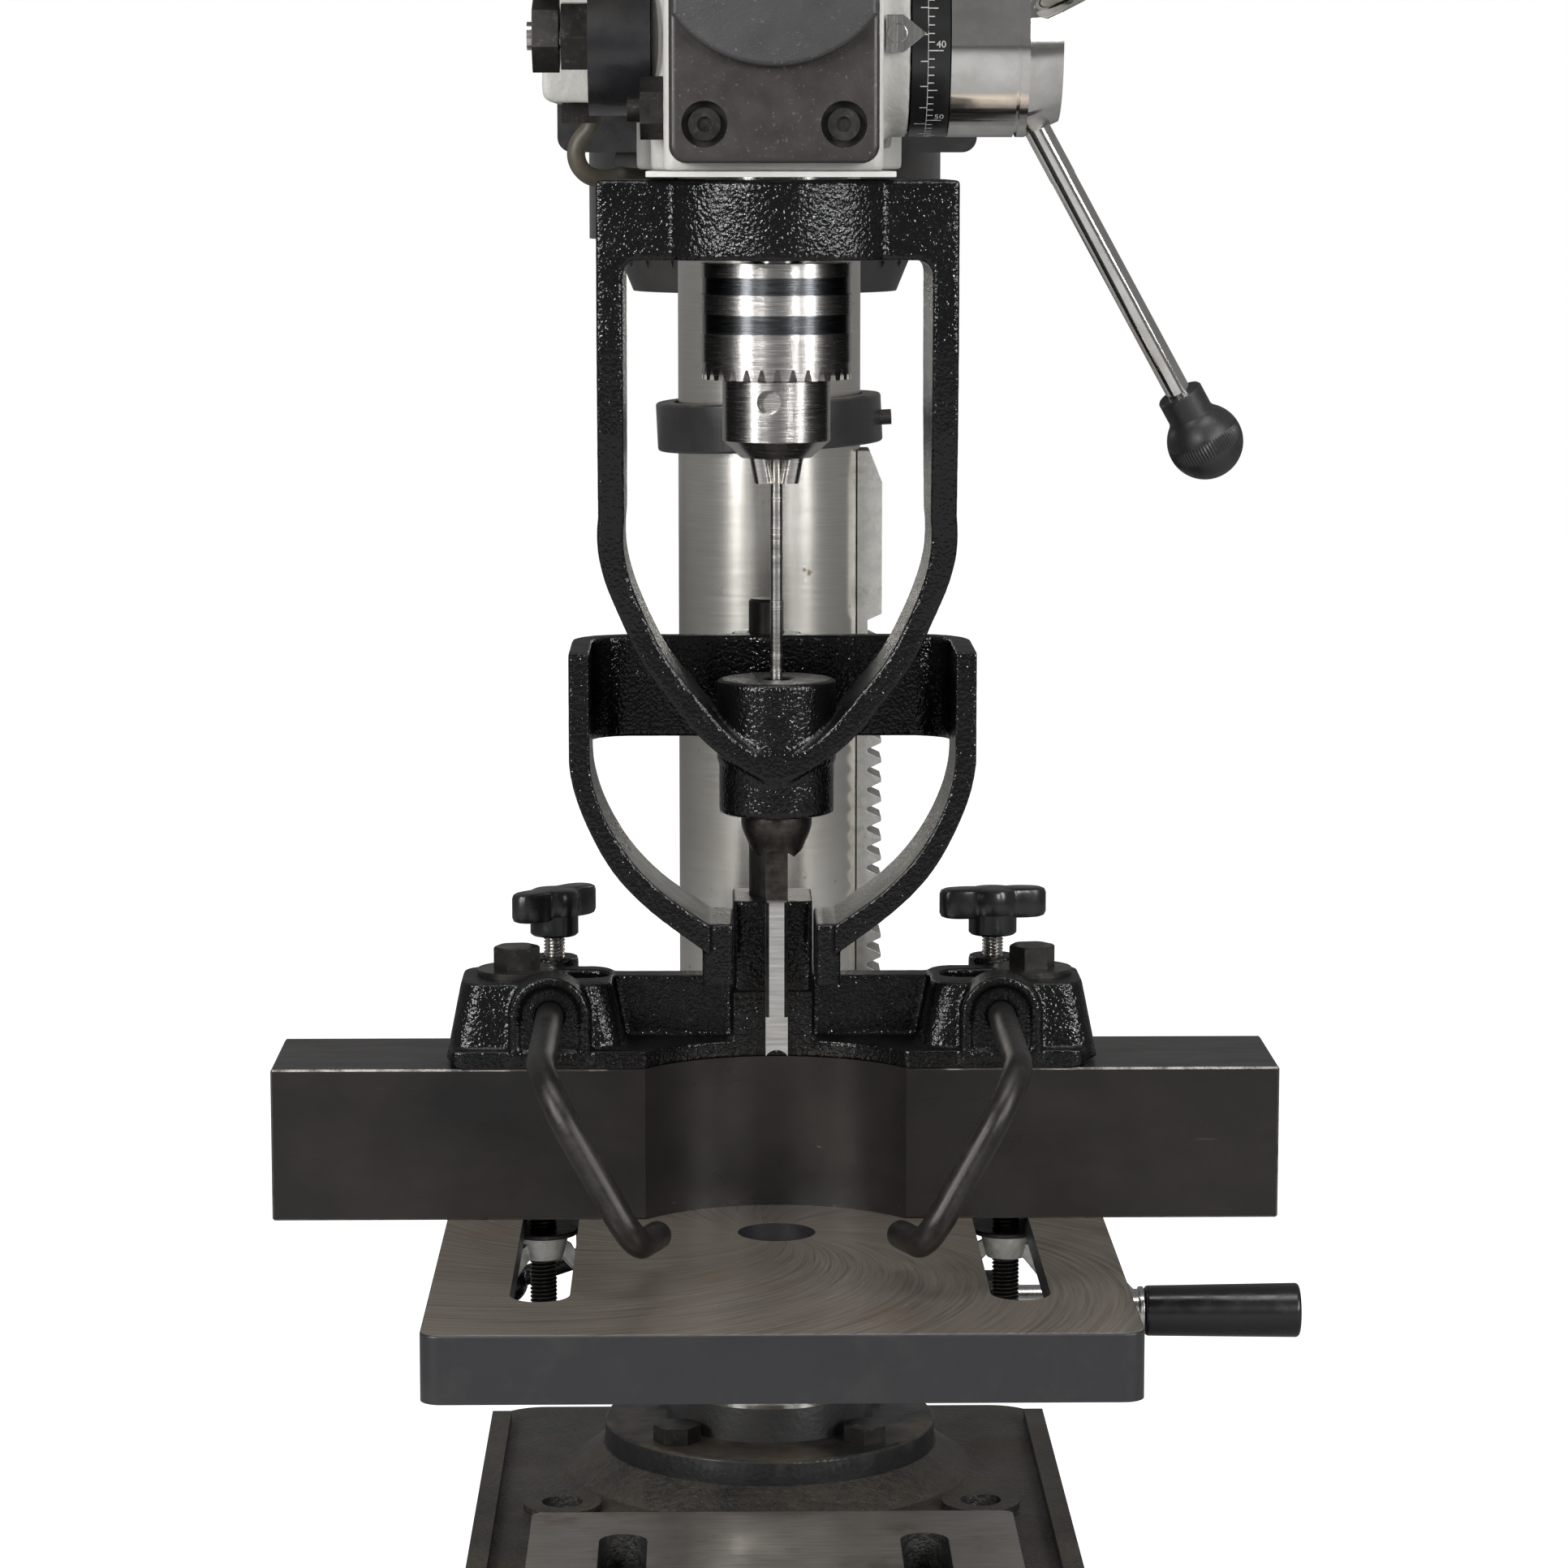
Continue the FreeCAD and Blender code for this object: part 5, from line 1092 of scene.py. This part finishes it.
def soft_light(name, place, aim, size, watts):
    """A rectangular lamp at a place, aimed at a point."""
    lamp = bpy.data.lights.new(name, "AREA")
    lamp.shape = "RECTANGLE"
    lamp.size, lamp.size_y = size
    lamp.energy = watts
    holder = bpy.data.objects.new(name, lamp)
    bpy.context.scene.collection.objects.link(holder)
    holder.location = place
    holder.rotation_euler = (Vector(aim) - Vector(place)).to_track_quat("-Z", "Y").to_euler()


WORLD_FELT = 0.21


def world():
    """White surroundings for the camera, dimmer ones for light and reflections."""
    scene_world = bpy.data.worlds.new("studio")
    scene_world.use_nodes = True
    tree = scene_world.node_tree
    seen = tree.nodes["Background"]
    seen.inputs["Color"].default_value = (1, 1, 1, 1)
    seen.inputs["Strength"].default_value = 1.0
    felt = tree.nodes.new("ShaderNodeBackground")
    felt.inputs["Color"].default_value = (1, 1, 1, 1)
    felt.inputs["Strength"].default_value = WORLD_FELT
    choose = tree.nodes.new("ShaderNodeMixShader")
    path = tree.nodes.new("ShaderNodeLightPath")
    tree.links.new(path.outputs["Is Camera Ray"], choose.inputs["Fac"])
    tree.links.new(felt.outputs[0], choose.inputs[1])
    tree.links.new(seen.outputs[0], choose.inputs[2])
    tree.links.new(choose.outputs[0], tree.nodes["World Output"].inputs["Surface"])
    bpy.context.scene.world = scene_world


CAMERA_PLACE = (-0.0228, -1.7998, 0.5638)
CAMERA_LENS = 104.23
CAMERA_SENSOR = 36
CAMERA_DOWN = math.radians(7.853)
CAMERA_RIGHT = math.radians(0.912)


def camera():
    """A long lens in front of the object, aimed slightly down."""
    lens = bpy.data.cameras.new("camera")
    lens.sensor_width = CAMERA_SENSOR
    lens.lens = CAMERA_LENS
    holder = bpy.data.objects.new("camera", lens)
    bpy.context.scene.collection.objects.link(holder)
    holder.location = CAMERA_PLACE
    holder.rotation_euler = (math.pi / 2 - CAMERA_DOWN, 0, -CAMERA_RIGHT)
    bpy.context.scene.camera = holder


floor()
world()
for lamp in LAMPS:
    soft_light(*lamp)
camera()
bpy.context.scene.view_settings.view_transform = "Standard"
